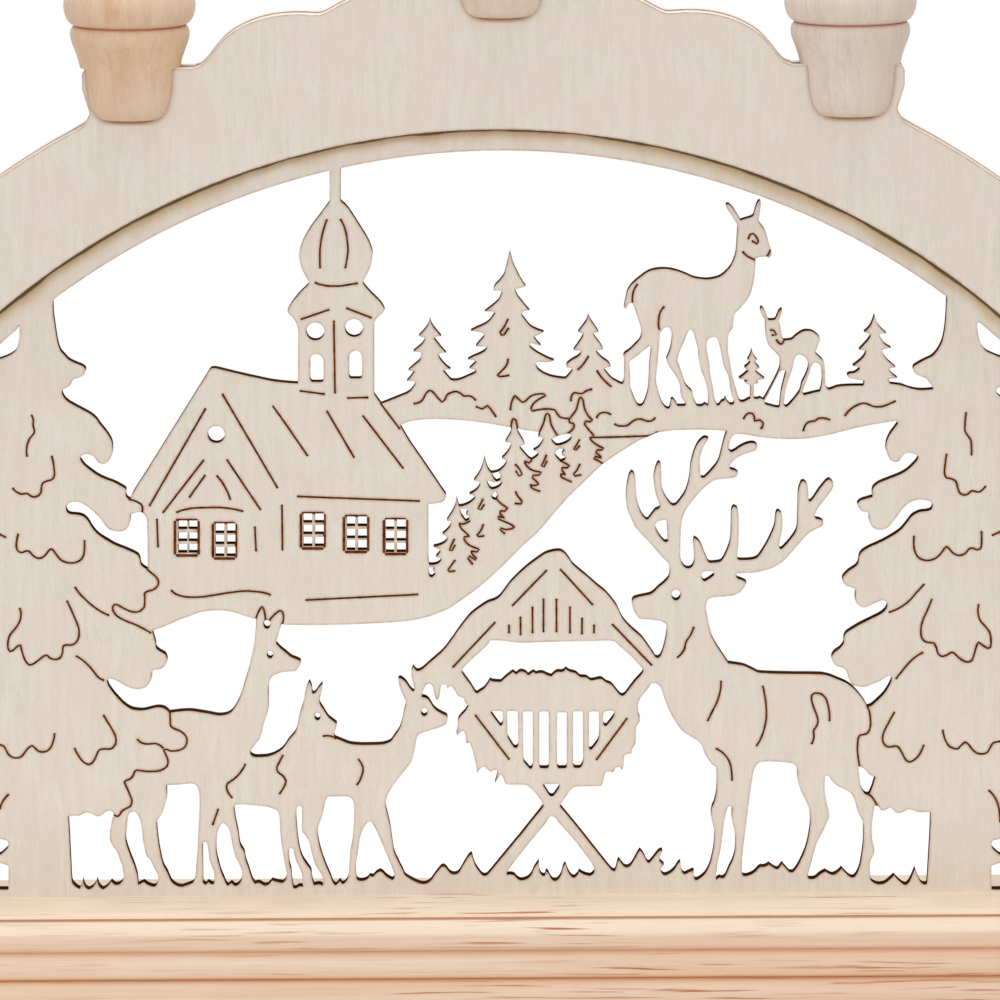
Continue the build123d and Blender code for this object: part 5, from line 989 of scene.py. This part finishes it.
def cup_material(name, looks, paleness):
    """Turned wood of a cup: upright grain, small dark pores and painted shade in the groove."""
    material, w, shader = new_material(name, roughness=0.48, specular=0.4)
    light = blended(looks.cup_light, looks.cup_pale_light, paleness)
    dark = blended(looks.cup_dark, looks.cup_pale_dark, paleness)
    wood = w.group(WOOD, Light_wood=linear(light), Dark_wood=linear(dark),
        Cloud_tint=linear(looks.cup_cloud), Grain=(330, 330, 42), Streaks=0.5, Fibres=0.35, Clouds=0.6,
        Cloud_size=0.022, Pores=0.45)
    # Painted shade in the cup's groove
    crease = w.group(CREASE_SHADE, Colour=wood.outputs["Colour"], Tone=linear(looks.cup_groove_shade),
        Reach=looks.cup_groove_shade_reach, Strength=0.9)
    coated(w, shader, crease.outputs["Colour"], wood.outputs["Height"], distance=0.00006)
    return material


def speckled_material(name, colour, dark, roughness, spot, specular=0.5, metallic=0.0, depth=0.00003):
    """A finish of one colour with fine uneven spots, also in its roughness and its surface."""
    material, w, shader = new_material(name, roughness, specular)
    shader.inputs["Metallic"].default_value = metallic
    spots = w.noise(w.place(), scale=1 / spot, detail=4.0, roughness=0.6)
    coated(w, shader, w.mix(w.span(spots, 0.3, 0.75), linear(colour), linear(dark)), spots, depth, 0.6)
    w.put(w.span(spots, 0.3, 0.7, roughness * 0.85, min(1.0, roughness * 1.2)), shader.inputs["Roughness"])
    return material


def glass_material(name):
    """Clear thin glass with the faintest uneven surface of blown bulbs."""
    material, w, shader = new_material(name, roughness=0.02)
    shader.inputs["Transmission Weight"].default_value = 1.0
    shader.inputs["IOR"].default_value = 1.45
    wave = w.noise(w.place(), scale=140.0, detail=1.0)
    coated(w, shader, (0.98, 0.98, 0.97, 1.0), wave, distance=0.0002, strength=0.15)
    return material


def colour(name, red, green, blue, description):
    """A colour setting, given in 0 to 255 as it looks."""
    return bpy.props.FloatVectorProperty(name=name, description=description, subtype="COLOR_GAMMA", size=3,
        min=0.0, max=1.0, default=(red / 255, green / 255, blue / 255))


def size(name, default, description, least=0.0):
    """A length setting in metres."""
    return bpy.props.FloatProperty(name=name, description=description, default=default, unit="LENGTH",
        min=least, precision=5)


def share(name, default, description):
    """A setting from none to all."""
    return bpy.props.FloatProperty(name=name, description=description, default=default, subtype="FACTOR",
        min=0.0, max=1.0)


def power(name, default, description):
    """A lamp's power in watts."""
    return bpy.props.FloatProperty(name=name, description=description, default=default, unit="POWER")


def angle(name, degrees, description):
    """An angle setting, given in degrees."""
    return bpy.props.FloatProperty(name=name, description=description, default=math.radians(degrees),
        subtype="ANGLE")


class SheetLooks(bpy.types.PropertyGroup):
    """Laser-cut plywood: kerfs, colours, and the painted shadow along the seam and round the cups' feet."""
    kerf_half_width: size("Kerf half width", 0.00023, "Half the width of an engraved line")
    kerf_depth: size("Kerf depth", 0.0005, "Depth of an engraved line")
    pierce_radius: size("Pierce radius", 0.00036, "Radius of the hole where the laser starts")
    curve_step: size("Curve step", 0.0005, "Longest step along a curved cut")
    rim_reach: size("Scorch reach", 0.0007, "How far the brown rim reaches from a cut")
    rim_strength: share("Scorch strength", 0.65, "How brown the rims are")
    seam_side: size("Seam side", -0.001, "Place across of the plates' middle", least=-1.0)
    seam_rise: size("Seam rise", 0.0527, "Height of the plates' middle")
    seam_radius: size("Seam radius", 0.1799, "Radius of the plates' inner edge")
    # Painted shadow of the plates on the picture along their inner edge: its reach, its dark line and its
    # strength
    seam_shadow_reach: size("Seam shadow reach", 0.0045, "How far the seam's tone reaches onto the picture")
    seam_shadow_line_reach: size("Seam shadow line", 0.00105, "How far the seam's dark line reaches onto the picture")
    seam_shadow_strength: share("Seam shadow strength", 0.9, "How strong the seam's tone and line are")
    smallest_pane: size("Smallest pane", 0.0012, "Least height of an opening that is a window pane")
    largest_pane: size("Largest pane", 0.0022, "Greatest width of an opening that is a window pane")
    pane_burn_across: size("Pane burn across", 0.00006, "How much wider each side of a pane is burnt")
    pane_burn_up: size("Pane burn up", 0.00027, "How much higher each end of a pane is burnt")
    # Painted contact shadow on the plates round the cups' feet: its reach, colour and strength
    contact_shadow_reach: size("Contact shadow reach", 0.0016, "How far the tone round the cups' feet reaches")
    contact_shadow_tone: colour("Painted contact shadow", 168, 116, 72, "Tone round the cups' feet")
    contact_shadow_strength: share("Contact shadow strength", 1.0, "How strong that tone is")
    frame_half_width: size("Frame half width", 0.00033, "Half the width of the lines round the windows")
    frame_bridge: size("Frame bridge", 0.0005, "Wood left at the corners of the window frames")
    sharp_turn: angle("Sharp turn", 46, "Turn from which a corner stays sharp")
    ply_light: colour("Ply light", 236, 228, 214, "Lightest wood of the plywood")
    ply_dark: colour("Ply dark", 210, 196, 178, "Darkest fibres of the plywood")
    ply_cloud: colour("Ply cloud", 230, 214, 201, "Tint of the plywood's soft clouds")
    scorch: colour("Scorch", 172, 98, 36, "Scorched rim of the laser cuts")
    kerf: colour("Kerf", 158, 86, 32, "Engraved lines")
    kerf_dark: colour("Kerf dark", 70, 33, 11, "Darker spots in the engraved lines")
    cut: colour("Cut", 84, 50, 26, "Face plies in the picture's laser cuts")
    cut_core: colour("Cut core", 56, 33, 18, "Core ply in the picture's laser cuts")
    # Near white, lighter than the faces: pale unburnt ply, lightened further as a painted highlight of the
    # strongly lit edges
    plate_cut: colour("Plate cut", 250, 244, 234, "Face plies in the arch plates' edges")
    plate_core: colour("Plate core", 238, 224, 204, "Core ply in the arch plates' edges")
    # Colours of the painted shadow along the plates' inner edge
    seam_shadow_tone: colour("Painted seam shadow", 196, 164, 116, "Tone along the seam of picture and plates")
    seam_shadow_line: colour("Seam shadow line", 92, 68, 40, "Dark line in the seam of picture and plates")


class BaseLooks(bpy.types.PropertyGroup):
    """The base's pine with its painted top highlight and painted shade, and small parts."""
    quirk_drop: size("Quirk drop", 0.0021, "Depth of the first groove's bottom under the base's top")
    quirk_fill: size("Quirk fill", 0.0006, "How much shallower the first groove is planed")
    # Painted highlight along the rails' top: where it starts and how it fades in
    lit_top_from: size("Lit top from", 0.0436, "Height from which the rails' painted top highlight starts")
    lit_top_fade: size("Lit top fade", 0.0015, "Height over which it does")
    # Painted shade in the grooves: the height from which it is faint, how it grows below, and its reach
    first_groove: size("First groove", 0.0405, "Height from which the grooves' painted shade is faint")
    groove_fade: size("Groove fade", 0.0015, "Height over which the painted shade grows below that")
    groove_shade_reach: size("Groove shade reach", 0.0016, "How far the grooves' tone reaches")
    # Painted shade low on the reeds: its reach, and the height below which there is none
    reed_shade_reach: size("Reed shade reach", 0.009, "How far the reeds' warmer tone reaches")
    reed_foot: size("Reed foot", 0.0215, "Height below which the rails' hollows stay pale")
    foot_fade: size("Foot fade", 0.004, "Height over which the warmer tone grows above that")
    # Colour of the painted highlight along the top edge
    pine_lit_top: colour("Pine lit top", 250, 232, 210, "Painted highlight along the top edge")
    pine_light: colour("Pine light", 238, 218, 197, "Pale early wood")
    pine_dark: colour("Pine dark", 224, 186, 152, "Late wood")
    pine_cloud: colour("Pine cloud", 234, 196, 168, "Peach tint of wide zones")
    pine_streak: colour("Pine streak", 184, 118, 74, "Thin resin streaks")
    pine_ring: colour("Pine ring", 208, 152, 104, "Late wood of the rings on the base's ends")
    heart: bpy.props.FloatVectorProperty(name="Heart", description="Middle of the pine's yearly rings",
        default=(0.0, 0.012, -0.035), subtype="TRANSLATION", unit="LENGTH")
    ring_width: size("Ring width", 0.0026, "Width of one yearly ring")
    ring_wave: size("Ring wave", 0.004, "How far the rings wander")
    # Colour of the painted shade low on the reeds
    pine_reed_shade: colour("Pine reed shade", 234, 178, 132, "Warmer tone low on the reeds")
    # Colour of the painted shade in the grooves
    pine_groove_shade: colour("Pine groove shade", 166, 104, 66, "Tone in the grooves")
    felt: colour("Felt", 112, 96, 82, "Felt of the pads")
    steel: colour("Screw", 190, 186, 172, "Zinc-plated screws")
    rubber: colour("Grommet", 40, 38, 36, "Rubber of the inlet")


class CupLooks(bpy.types.PropertyGroup):
    """The turned cups, with the painted shade in their grooves."""
    cup_light: colour("Cup light", 230, 197, 165, "Light wood of the cups")
    cup_dark: colour("Cup dark", 208, 162, 124, "Dark wood of the cups")
    cup_cloud: colour("Cup cloud", 226, 206, 186, "Pale greyish zones of the cups")
    cup_pale_light: colour("Pale cup light", 233, 217, 204, "Pale wood of the palest cups")
    cup_pale_dark: colour("Pale cup dark", 208, 186, 168, "Darker grain of the palest cups")
    cup_paleness: bpy.props.FloatVectorProperty(name="Paleness", size=7, min=0.0, max=1.0,
        description="How pale each cup is, from the left", default=(0.5, 0.2, 0.0, 0.6, 1.0, 0.3, 0.7))
    # Painted shade in the cups' grooves: its colour and reach
    cup_groove_shade: colour("Cup groove shade", 190, 122, 84, "Tone in the cups' grooves")
    cup_groove_shade_reach: size("Cup groove shade reach", 0.002, "How far that tone reaches")
    sharp_edge: angle("Sharp edge", 32, "Angle from which an edge stays sharp")


class LampLooks(bpy.types.PropertyGroup):
    """The electric candles and their lead."""
    ivory: colour("Shaft", 240, 232, 208, "Ivory shafts of the lamps")
    ivory_shade: colour("Shaft shade", 232, 221, 192, "Uneven tone of the shafts")
    brass: colour("Cap", 206, 172, 96, "Brass caps")
    brass_dull: colour("Cap dull", 178, 143, 76, "Dull spots of the brass caps")
    socket: colour("Socket", 222, 212, 186, "Plastic sockets")
    lead: colour("Lead", 232, 226, 204, "Sheath of the lead")
    wire: colour("Filament", 150, 146, 138, "Filament and its supports")
    wire_dull: colour("Filament dull", 128, 122, 115, "Dull spots of the filament and its supports")
    tip_radius: size("Tip radius", 0.0015, "Radius of a cap's contact tip")
    tip_height: size("Tip height", 0.0008, "Height of a cap's contact tip")
    cap_rounding: size("Cap rounding", 0.0008, "Height of the rounded foot of a cap's shell")
    thread_depth: size("Thread depth", 0.0004, "Depth of a cap's thread")
    thread_pitch: size("Thread pitch", 0.0018, "Height of one turn of a cap's thread")
    stem_height: size("Stem height", 0.0032, "Height of the stem in the glass")
    post_spread: size("Post spread", 0.0026, "Distance between the filament's two posts")
    post_radius: size("Post radius", 0.00016, "Radius of the filament's posts")
    coil_rise: size("Coil rise", 0.0024, "How far the filament rises over its posts")
    coil_radius: size("Coil radius", 0.00036, "Radius of the filament's turns")
    coil_turns: bpy.props.IntProperty(name="Coil turns", description="Turns of the filament", default=16)
    wire_radius: size("Wire radius", 0.00009, "Radius of the filament's wire")
    sharp_edge: angle("Sharp edge", 32, "Angle from which an edge stays sharp")


class StageLooks(bpy.types.PropertyGroup):
    """Floor and light."""
    floor: colour("Floor", 244, 243, 241, "Pale floor")
    floor_radius: size("Floor radius", 0.24, "Where the floor starts to fade into the background")
    floor_fade: size("Floor fade", 0.1, "How far the fade reaches")
    floor_glow: share("Floor glow", 0.3, "White that the floor adds where it is seen")
    key_power: power("Key power", 3.78, "Power of the large lamp above the front")
    top_power: power("Top power", 8.0, "Power of the lamp overhead")
    fill_power: power("Fill power", 1.3, "Power of the lamps at the sides, and half that of the back one")
    ambient: share("Ambient", 0.6, "Strength of the light from all round")


# The stage's lamps: place from the arch's middle, width, the setting with the power, and its factor
STAGE_LAMPS = {
    "key_lamp": ((-0.15, -1.2, 0.55), 0.5, "key_power", 1),
    "top_lamp": ((0, -0.05, 1.4), 0.9, "top_power", 1),
    "left_lamp": ((-1.3, -0.5, 0.25), 0.8, "fill_power", 1),
    "right_lamp": ((1.3, -0.4, 0.3), 0.8, "fill_power", 1),
    "back_lamp": ((0.3, 1.2, 0.8), 0.9, "fill_power", 2),
}

# The floor's disc: how thick it is, in how many sides, and at what share of its reach it has faded
FLOOR_DEPTH = 0.004
FLOOR_SIDES = 96
FADED_SHARE = 0.99


class CANDLEARCH_OT_stage(bpy.types.Operator):
    """Makes the floor, the background, the lamps and the camera."""
    bl_idname = "candle_arch.stage"
    bl_label = "Stage"

    def execute(self, context):
        looks = context.scene.stage_looks
        self.floor(looks)
        self.background(context.scene, looks)
        low, high = (Vector(corner) for corner in CAD_BOX)
        middle = (low + high) / 2
        for name, (place, width, power_name, times) in STAGE_LAMPS.items():
            self.lamp(name, middle + Vector(place), middle, width, getattr(looks, power_name) * times)
        self.camera(context.scene)
        return {"FINISHED"}

    def floor(self, looks):
        """A disc whose height is zero; its material fades into the background beyond the radius."""
        reach = looks.floor_radius + looks.floor_fade
        profile = [(0, -FLOOR_DEPTH), (reach, -FLOOR_DEPTH), (reach, 0), (0, 0)]
        vertices, faces = turned(profile, (0, 0, 0), FLOOR_SIDES)
        mesh = bpy.data.meshes.new("floor")
        mesh.from_pydata(vertices.tolist(), [], faces)
        floor = bpy.data.objects.new("floor", mesh)
        bpy.context.scene.collection.objects.link(floor)
        material, w, shader = new_material("floor_finish", roughness=0.8, specular=0.1)
        place = w.place()
        out_from = w.vector("LENGTH", w.vector("MULTIPLY", place, (1, 1, 0)), output="Value")
        fade = w.span(out_from, looks.floor_radius, reach * FADED_SHARE)
        paper = w.span(w.noise(place, scale=60.0, detail=3.0), 0.3, 0.7, 0.985, 1.0)
        w.put(w.mix(paper, linear(looks.floor), (0.93, 0.93, 0.92, 1.0)), shader.inputs["Base Color"])
        w.put(w.math("SUBTRACT", 1.0, fade), shader.inputs["Alpha"])
        shader.inputs["Emission Color"].default_value = (1.0, 1.0, 1.0, 1.0)
        w.put(w.math("MULTIPLY", self.seen(w), looks.floor_glow), shader.inputs["Emission Strength"])
        dress(floor, material)

    def seen(self, w):
        """One for what the camera sees, also in a mirror or through glass."""
        path = w.tree.nodes.new("ShaderNodeLightPath")
        seen = w.math("MAXIMUM", path.outputs["Is Camera Ray"], path.outputs["Is Glossy Ray"])
        return w.math("MAXIMUM", seen, path.outputs["Is Transmission Ray"])

    def background(self, scene, looks):
        """White where it is seen, mirrored or seen through glass, and plain ambient light elsewhere."""
        world = bpy.data.worlds.new("studio")
        world.use_nodes = True
        tree = world.node_tree
        tree.nodes.clear()
        w = Wiring(tree)
        ambient = tree.nodes.new("ShaderNodeBackground")
        ambient.inputs["Color"].default_value = (0.98, 0.985, 1.0, 1.0)
        ambient.inputs["Strength"].default_value = looks.ambient
        white = tree.nodes.new("ShaderNodeBackground")
        white.inputs["Color"].default_value = (1.0, 1.0, 1.0, 1.0)
        white.inputs["Strength"].default_value = 1.0
        join = tree.nodes.new("ShaderNodeMixShader")
        w.put(self.seen(w), join.inputs[0])
        tree.links.new(ambient.outputs[0], join.inputs[1])
        tree.links.new(white.outputs[0], join.inputs[2])
        tree.links.new(join.outputs[0], tree.nodes.new("ShaderNodeOutputWorld").inputs["Surface"])
        scene.world = world
        scene.view_settings.view_transform = "Standard"

    def lamp(self, name, place, target, width, power):
        """A round area lamp turned towards its target."""
        light = bpy.data.lights.new(name, "AREA")
        light.shape = "DISK"
        light.size = width
        light.energy = power
        lamp = bpy.data.objects.new(name, light)
        bpy.context.scene.collection.objects.link(lamp)
        lamp.location = place
        lamp.rotation_euler = (target - place).to_track_quat("-Z", "Y").to_euler()

    def camera(self, scene):
        """Where the photograph was taken: its middle on the picture, its tilt, roll and distance."""
        data = bpy.data.cameras.new("photo_camera")
        data.sensor_width = 36.0
        data.lens = data.sensor_width * VIEW_DISTANCE_PX / (2 * PHOTO_MIDDLE_PX)
        across, up = on_panel([(PHOTO_MIDDLE_PX, PHOTO_MIDDLE_PX)])[0]
        aim = Vector((across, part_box("scene_panel")[0].y, up))
        back = Vector((0, -math.cos(VIEW_TILT), math.sin(VIEW_TILT))) * VIEW_DISTANCE_PX * METRES_PER_PX
        turn = Matrix.Rotation(math.pi / 2 - VIEW_TILT, 4, "X") @ Matrix.Rotation(-VIEW_ROLL, 4, "Z")
        camera = bpy.data.objects.new("photo_camera", data)
        scene.collection.objects.link(camera)
        camera.matrix_world = Matrix.Translation(aim + back) @ turn
        scene.camera = camera


class CANDLEARCH_OT_picture(bpy.types.Operator):
    """Makes the laser-cut picture from the CAD outlines, with its corners eased and its kerfs cut."""
    bl_idname = "candle_arch.picture"
    bl_label = "Laser-cut picture"

    def execute(self, context):
        looks = context.scene.sheet_looks
        low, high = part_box("scene_panel")
        loops = sheet_outlines("scene_panel", looks)
        if len(loops) < 2:
            raise RuntimeError("the panel has no openings")
        loops = [self.widened(loop, looks) for loop in loops]
        kerfs = [self.kerf(line, looks) for line in self.kerf_lines()] + self.window_frames(looks)
        new_sheet("laser_cut_picture", "scene_panel", loops, kerfs, low.y + looks.kerf_depth,
            plywood_material("plywood_picture", looks, looks.seam_shadow_strength, 0.0),
            speckled_material("kerf_scorch", looks.kerf, looks.kerf_dark, roughness=0.85, spot=0.0012,
                specular=0.1),
            edge_material("laser_cut_edge", looks.cut, looks.cut_core, (low.y, high.y)))
        return {"FINISHED"}

    def widened(self, loop, looks):
        """A window pane widened by what the laser burns away, and any other outline as it is."""
        low, high = loop.min(axis=0), loop.max(axis=0)
        if (high - low).max() > looks.largest_pane or (high - low).min() < looks.smallest_pane:
            return loop
        middle = (low + high) / 2
        burnt = np.array([looks.pane_burn_across, looks.pane_burn_up])
        return middle + (loop - middle) * (1 + 2 * burnt / (high - low))

    def kerf_lines(self):
        """All kerfs: the picked ones, and the trees' again, mirrored about their trunks."""
        lines = (LEFT_TREE_INNER_KERFS_PX + LEFT_TREE_KERFS_PX + CHURCH_KERFS_PX + DEER_KERFS_PX
            + RACK_KERFS_PX + HILL_KERFS_PX + FIR_KERFS_PX + NEEDLE_KERFS_PX + RIGHT_TREE_KERFS_PX)
        for tree, trunk in (LEFT_TREE_KERFS_PX, LEFT_TRUNK_PX), (RIGHT_TREE_KERFS_PX, RIGHT_TRUNK_PX):
            lines += [[(2 * trunk - px, py) for px, py in line] for line in tree]
        return lines

    def kerf(self, line, looks):
        """The outline of one picked line's kerf."""
        line = eased(on_panel(line), False, looks.sharp_turn, looks.curve_step)
        return kerf_outline(line, looks.kerf_half_width, looks.pierce_radius)

    def window_frames(self, looks):
        """Four straight kerfs round each window, with a bridge of wood left at each corner."""
        frames = []
        bridge = looks.frame_bridge / METRES_PER_PX
        for left, top, right, bottom in WINDOW_FRAMES_PX:
            sides = [[(left + bridge, top), (right - bridge, top)],
                [(right, top + bridge), (right, bottom - bridge)],
                [(right - bridge, bottom), (left + bridge, bottom)],
                [(left, bottom - bridge), (left, top + bridge)]]
            for side in sides:
                frames.append(kerf_outline(on_panel(side), looks.frame_half_width, looks.frame_half_width))
        return frames


class CANDLEARCH_OT_plates(bpy.types.Operator):
    """Makes the two arch plates from their CAD outlines, with the scallops' corners eased."""
    bl_idname = "candle_arch.plates"
    bl_label = "Arch plates"

    def execute(self, context):
        looks = context.scene.sheet_looks
        # The plates' faces get painted contact shadow round the cups' feet, and no painted seam shadow
        face = plywood_material("plywood_plates", looks, 0.0, looks.contact_shadow_strength)
        for node in ("front_arch", "back_arch"):
            low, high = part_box(node)
            edge = edge_material(node + "_edge", looks.plate_cut, looks.plate_core, (low.y, high.y))
            new_sheet(node + "_plate", node, sheet_outlines(node, looks), [], (low.y + high.y) / 2,
                face, face, edge)
        return {"FINISHED"}


# Spots in the finish of the base's small parts
FELT_SPOTS = (0.34, 0.29, 0.24)
STEEL_SPOTS = (0.62, 0.60, 0.52)
RUBBER_SPOTS = (0.1, 0.1, 0.1)


class CANDLEARCH_OT_base(bpy.types.Operator):
    """Finishes the base: rails, core, ends, pads, screws and grommet."""
    bl_idname = "candle_arch.base"
    bl_label = "Base"

    def execute(self, context):
        looks = context.scene.base_looks
        pine = pine_material("pine", looks)
        for node in ("base_front_rail", "base_back_rail"):
            rail = smooth_copy(node + "_smooth", node, "frame", "pine", BASE_SHARP_EDGE, pine)
            self.soften_quirk(rail, looks)
        for node in ("base_core", "base_end_left", "base_end_right"):
            dress(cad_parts[node], pine)
        dress(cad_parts["felt_pads"], speckled_material("felt_finish", looks.felt, FELT_SPOTS,
            roughness=0.95, spot=0.0008, specular=0.1, depth=0.0002))
        steel = speckled_material("screw_finish", looks.steel, STEEL_SPOTS, roughness=0.35, spot=0.002,
            metallic=1.0)
        smooth_copy("base_screws_smooth", "base_screws", "frame", "screw_steel", BASE_SHARP_EDGE, steel)
        rubber = speckled_material("grommet_finish", looks.rubber, RUBBER_SPOTS, roughness=0.6, spot=0.001)
        smooth_copy("cord_grommet_smooth", "cord_grommet", "frame", "grommet_rubber", BASE_SHARP_EDGE,
            rubber)
        return {"FINISHED"}

    def soften_quirk(self, rail, looks):
        """Moves the bottom of the groove under the rounded edge outwards, so that it is shallower."""
        mesh = rail.data
        places = places_of(mesh)
        bottom = np.abs(places[:, 2] - (BASE_TOP - looks.quirk_drop)) < looks.quirk_drop / 20
        places[bottom, 1] += np.sign(places[bottom, 1]) * looks.quirk_fill
        mesh.vertices.foreach_set("co", places.reshape(-1))
        mesh.update()


class CANDLEARCH_OT_cups(bpy.types.Operator):
    """Finishes the turned cups and the sockets in them."""
    bl_idname = "candle_arch.cups"
    bl_label = "Candle cups"

    def execute(self, context):
        looks = context.scene.cup_looks
        lamp_looks = context.scene.lamp_looks
        plastic = speckled_material("socket_finish", lamp_looks.socket, lamp_looks.ivory_shade,
            roughness=0.55, spot=0.002)
        for k, paleness in zip(LAMPS, looks.cup_paleness):
            wood = cup_material(f"turned_cup_wood_{k}", looks, paleness)
            for name, node, slot_name, material in (
                    (f"turned_cup_{k}", f"candle_cup_{k}", "turned_wood", wood),
                    (f"socket_{k}", f"lamp_socket_{k}", "socket_plastic", plastic)):
                smooth_copy(name, node, "frame", slot_name, looks.sharp_edge, material)
        return {"FINISHED"}


# Steps round and up a cap, round a stem, a post and the wire, and along one turn of the filament
CAP_SIDES = 40
CAP_ROWS = 48
STEM_SIDES = 24
POST_SIDES = 8
WIRE_SIDES = 6
COIL_STEPS = 14

# The cap's tip, the foot of its shell, and the stem's flare and neck, across and up
TIP_SHARES = ((0.7, 0.1), (1, 0.5), (1, 1))
SHELL_FOOT_SHARES = (0.86, 0.3)
FLARE_SHARE = 0.25
NECK_SHARES = ((0.6, 0.5), (0.52, 1))


class CANDLEARCH_OT_lamps(bpy.types.Operator):
    """Makes the seven lamps: threaded caps, shafts, flame-shaped glass, and stems with coiled filaments."""
    bl_idname = "candle_arch.lamps"
    bl_label = "Lamps"

    def execute(self, context):
        looks = context.scene.lamp_looks
        brass = speckled_material("cap_finish", looks.brass, looks.brass_dull, roughness=0.28, spot=0.003,
            metallic=1.0)
        ivory = speckled_material("shaft_finish", looks.ivory, looks.ivory_shade, roughness=0.42,
            spot=0.006)
        wire = speckled_material("filament_finish", looks.wire, looks.wire_dull, roughness=0.4, spot=0.001,
            metallic=1.0)
        glass = glass_material("glass_finish")
        for k in LAMPS:
            self.cap(k, looks, brass)
            self.filament(k, looks, wire)
            for part, slot_name, material in (
                    ("lamp_shaft", "ivory_shaft", ivory), ("lamp_glass", "lamp_glass", glass)):
                node = f"{part}_{k}"
                smooth_copy(node + "_smooth", node, f"lamp_{k}", slot_name, looks.sharp_edge, material)
        return {"FINISHED"}

    def cap(self, k, looks, brass):
        """A screw cap as high and wide as the CAD cap, with a rounded tip and a thread."""
        centre, radius, height = upright(f"lamp_cap_{k}")
        tip, shoulder = looks.tip_radius, looks.tip_height
        rounding = looks.cap_rounding
        profile = [(0, 0)] + [(tip * across, shoulder * up) for across, up in TIP_SHARES]
        across, up = SHELL_FOOT_SHARES
        profile.append((radius * across, shoulder + rounding * up))
        profile += [(radius, up) for up in np.linspace(shoulder + rounding, height, CAP_ROWS)]
        vertices, faces = turned(profile + [(0, height)], centre, CAP_SIDES)
        low, high = centre[2] + shoulder + rounding, centre[2] + height - rounding
        vertices = threaded(vertices, centre, low, high, looks.thread_depth, looks.thread_pitch)
        new_piece(f"screw_cap_{k}", f"lamp_cap_{k}", vertices, faces, f"lamp_{k}", "cap_brass", brass,
            sharp_angle=looks.sharp_edge)

    def filament(self, k, looks, wire):
        """A stem with a flare, two posts on it, and a coiled wire over them."""
        centre, radius, height = upright(f"lamp_filament_{k}")
        stem, flare = looks.stem_height, looks.stem_height * FLARE_SHARE
        profile = [(0, 0), (radius, 0), (radius, flare)]
        profile += [(radius * across, stem * up) for across, up in NECK_SHARES]
        surfaces = [turned(profile + [(0, stem)], centre, STEM_SIDES)]
        half = looks.post_spread / 2
        top = height - looks.coil_rise - looks.coil_radius - looks.wire_radius
        tips = [centre + (side, 0, top) for side in (-half, half)]
        for tip in tips:
            foot = (*tip[:2], centre[2] + flare)
            surfaces.append(tube(np.linspace(foot, tip, 4), looks.post_radius, POST_SIDES))
        path = coil(*tips, looks.coil_rise, looks.coil_radius, looks.coil_turns, COIL_STEPS)
        surfaces.append(tube(path, looks.wire_radius, WIRE_SIDES))
        vertices, faces = joined(surfaces)
        new_piece(f"stem_and_filament_{k}", f"lamp_filament_{k}", vertices, faces, f"lamp_{k}",
            "filament_wire", wire, sharp_angle=looks.sharp_edge)


class CANDLEARCH_OT_lead(bpy.types.Operator):
    """Finishes the lamps' lead in the groove between the plates."""
    bl_idname = "candle_arch.lead"
    bl_label = "Lead"

    def execute(self, context):
        looks = context.scene.lamp_looks
        sheath = speckled_material("lead_finish", looks.lead, looks.ivory_shade, roughness=0.5, spot=0.004)
        smooth_copy("lamp_lead_smooth", "lamp_lead", "frame", "lead_sheath", looks.sharp_edge, sheath)
        return {"FINISHED"}


OPERATORS = (CANDLEARCH_OT_stage, CANDLEARCH_OT_picture, CANDLEARCH_OT_plates, CANDLEARCH_OT_base,
    CANDLEARCH_OT_cups, CANDLEARCH_OT_lamps, CANDLEARCH_OT_lead)
SETTINGS = {"sheet_looks": SheetLooks, "base_looks": BaseLooks, "cup_looks": CupLooks,
    "lamp_looks": LampLooks, "stage_looks": StageLooks}


class CANDLEARCH_PT_panel(bpy.types.Panel):
    """Lists the pieces of the candle arch."""
    bl_idname = "CANDLEARCH_PT_panel"
    bl_label = "Candle arch"
    bl_space_type = "VIEW_3D"
    bl_region_type = "UI"
    bl_category = "Candle arch"

    def draw(self, context):
        for operator in OPERATORS:
            self.layout.operator(operator.bl_idname)


def register():
    for group in SETTINGS.values():
        bpy.utils.register_class(group)
    for name, group in SETTINGS.items():
        setattr(bpy.types.Scene, name, bpy.props.PointerProperty(type=group))
    for operator in OPERATORS:
        bpy.utils.register_class(operator)
    bpy.utils.register_class(CANDLEARCH_PT_panel)


def unregister():
    bpy.utils.unregister_class(CANDLEARCH_PT_panel)
    for operator in reversed(OPERATORS):
        bpy.utils.unregister_class(operator)
    for name in SETTINGS:
        delattr(bpy.types.Scene, name)
    for group in SETTINGS.values():
        bpy.utils.unregister_class(group)


def main():
    register()
    bpy.ops.candle_arch.stage()
    bpy.ops.candle_arch.picture()
    bpy.ops.candle_arch.plates()
    bpy.ops.candle_arch.base()
    bpy.ops.candle_arch.cups()
    bpy.ops.candle_arch.lamps()
    bpy.ops.candle_arch.lead()


if __name__ == "__main__":
    main()
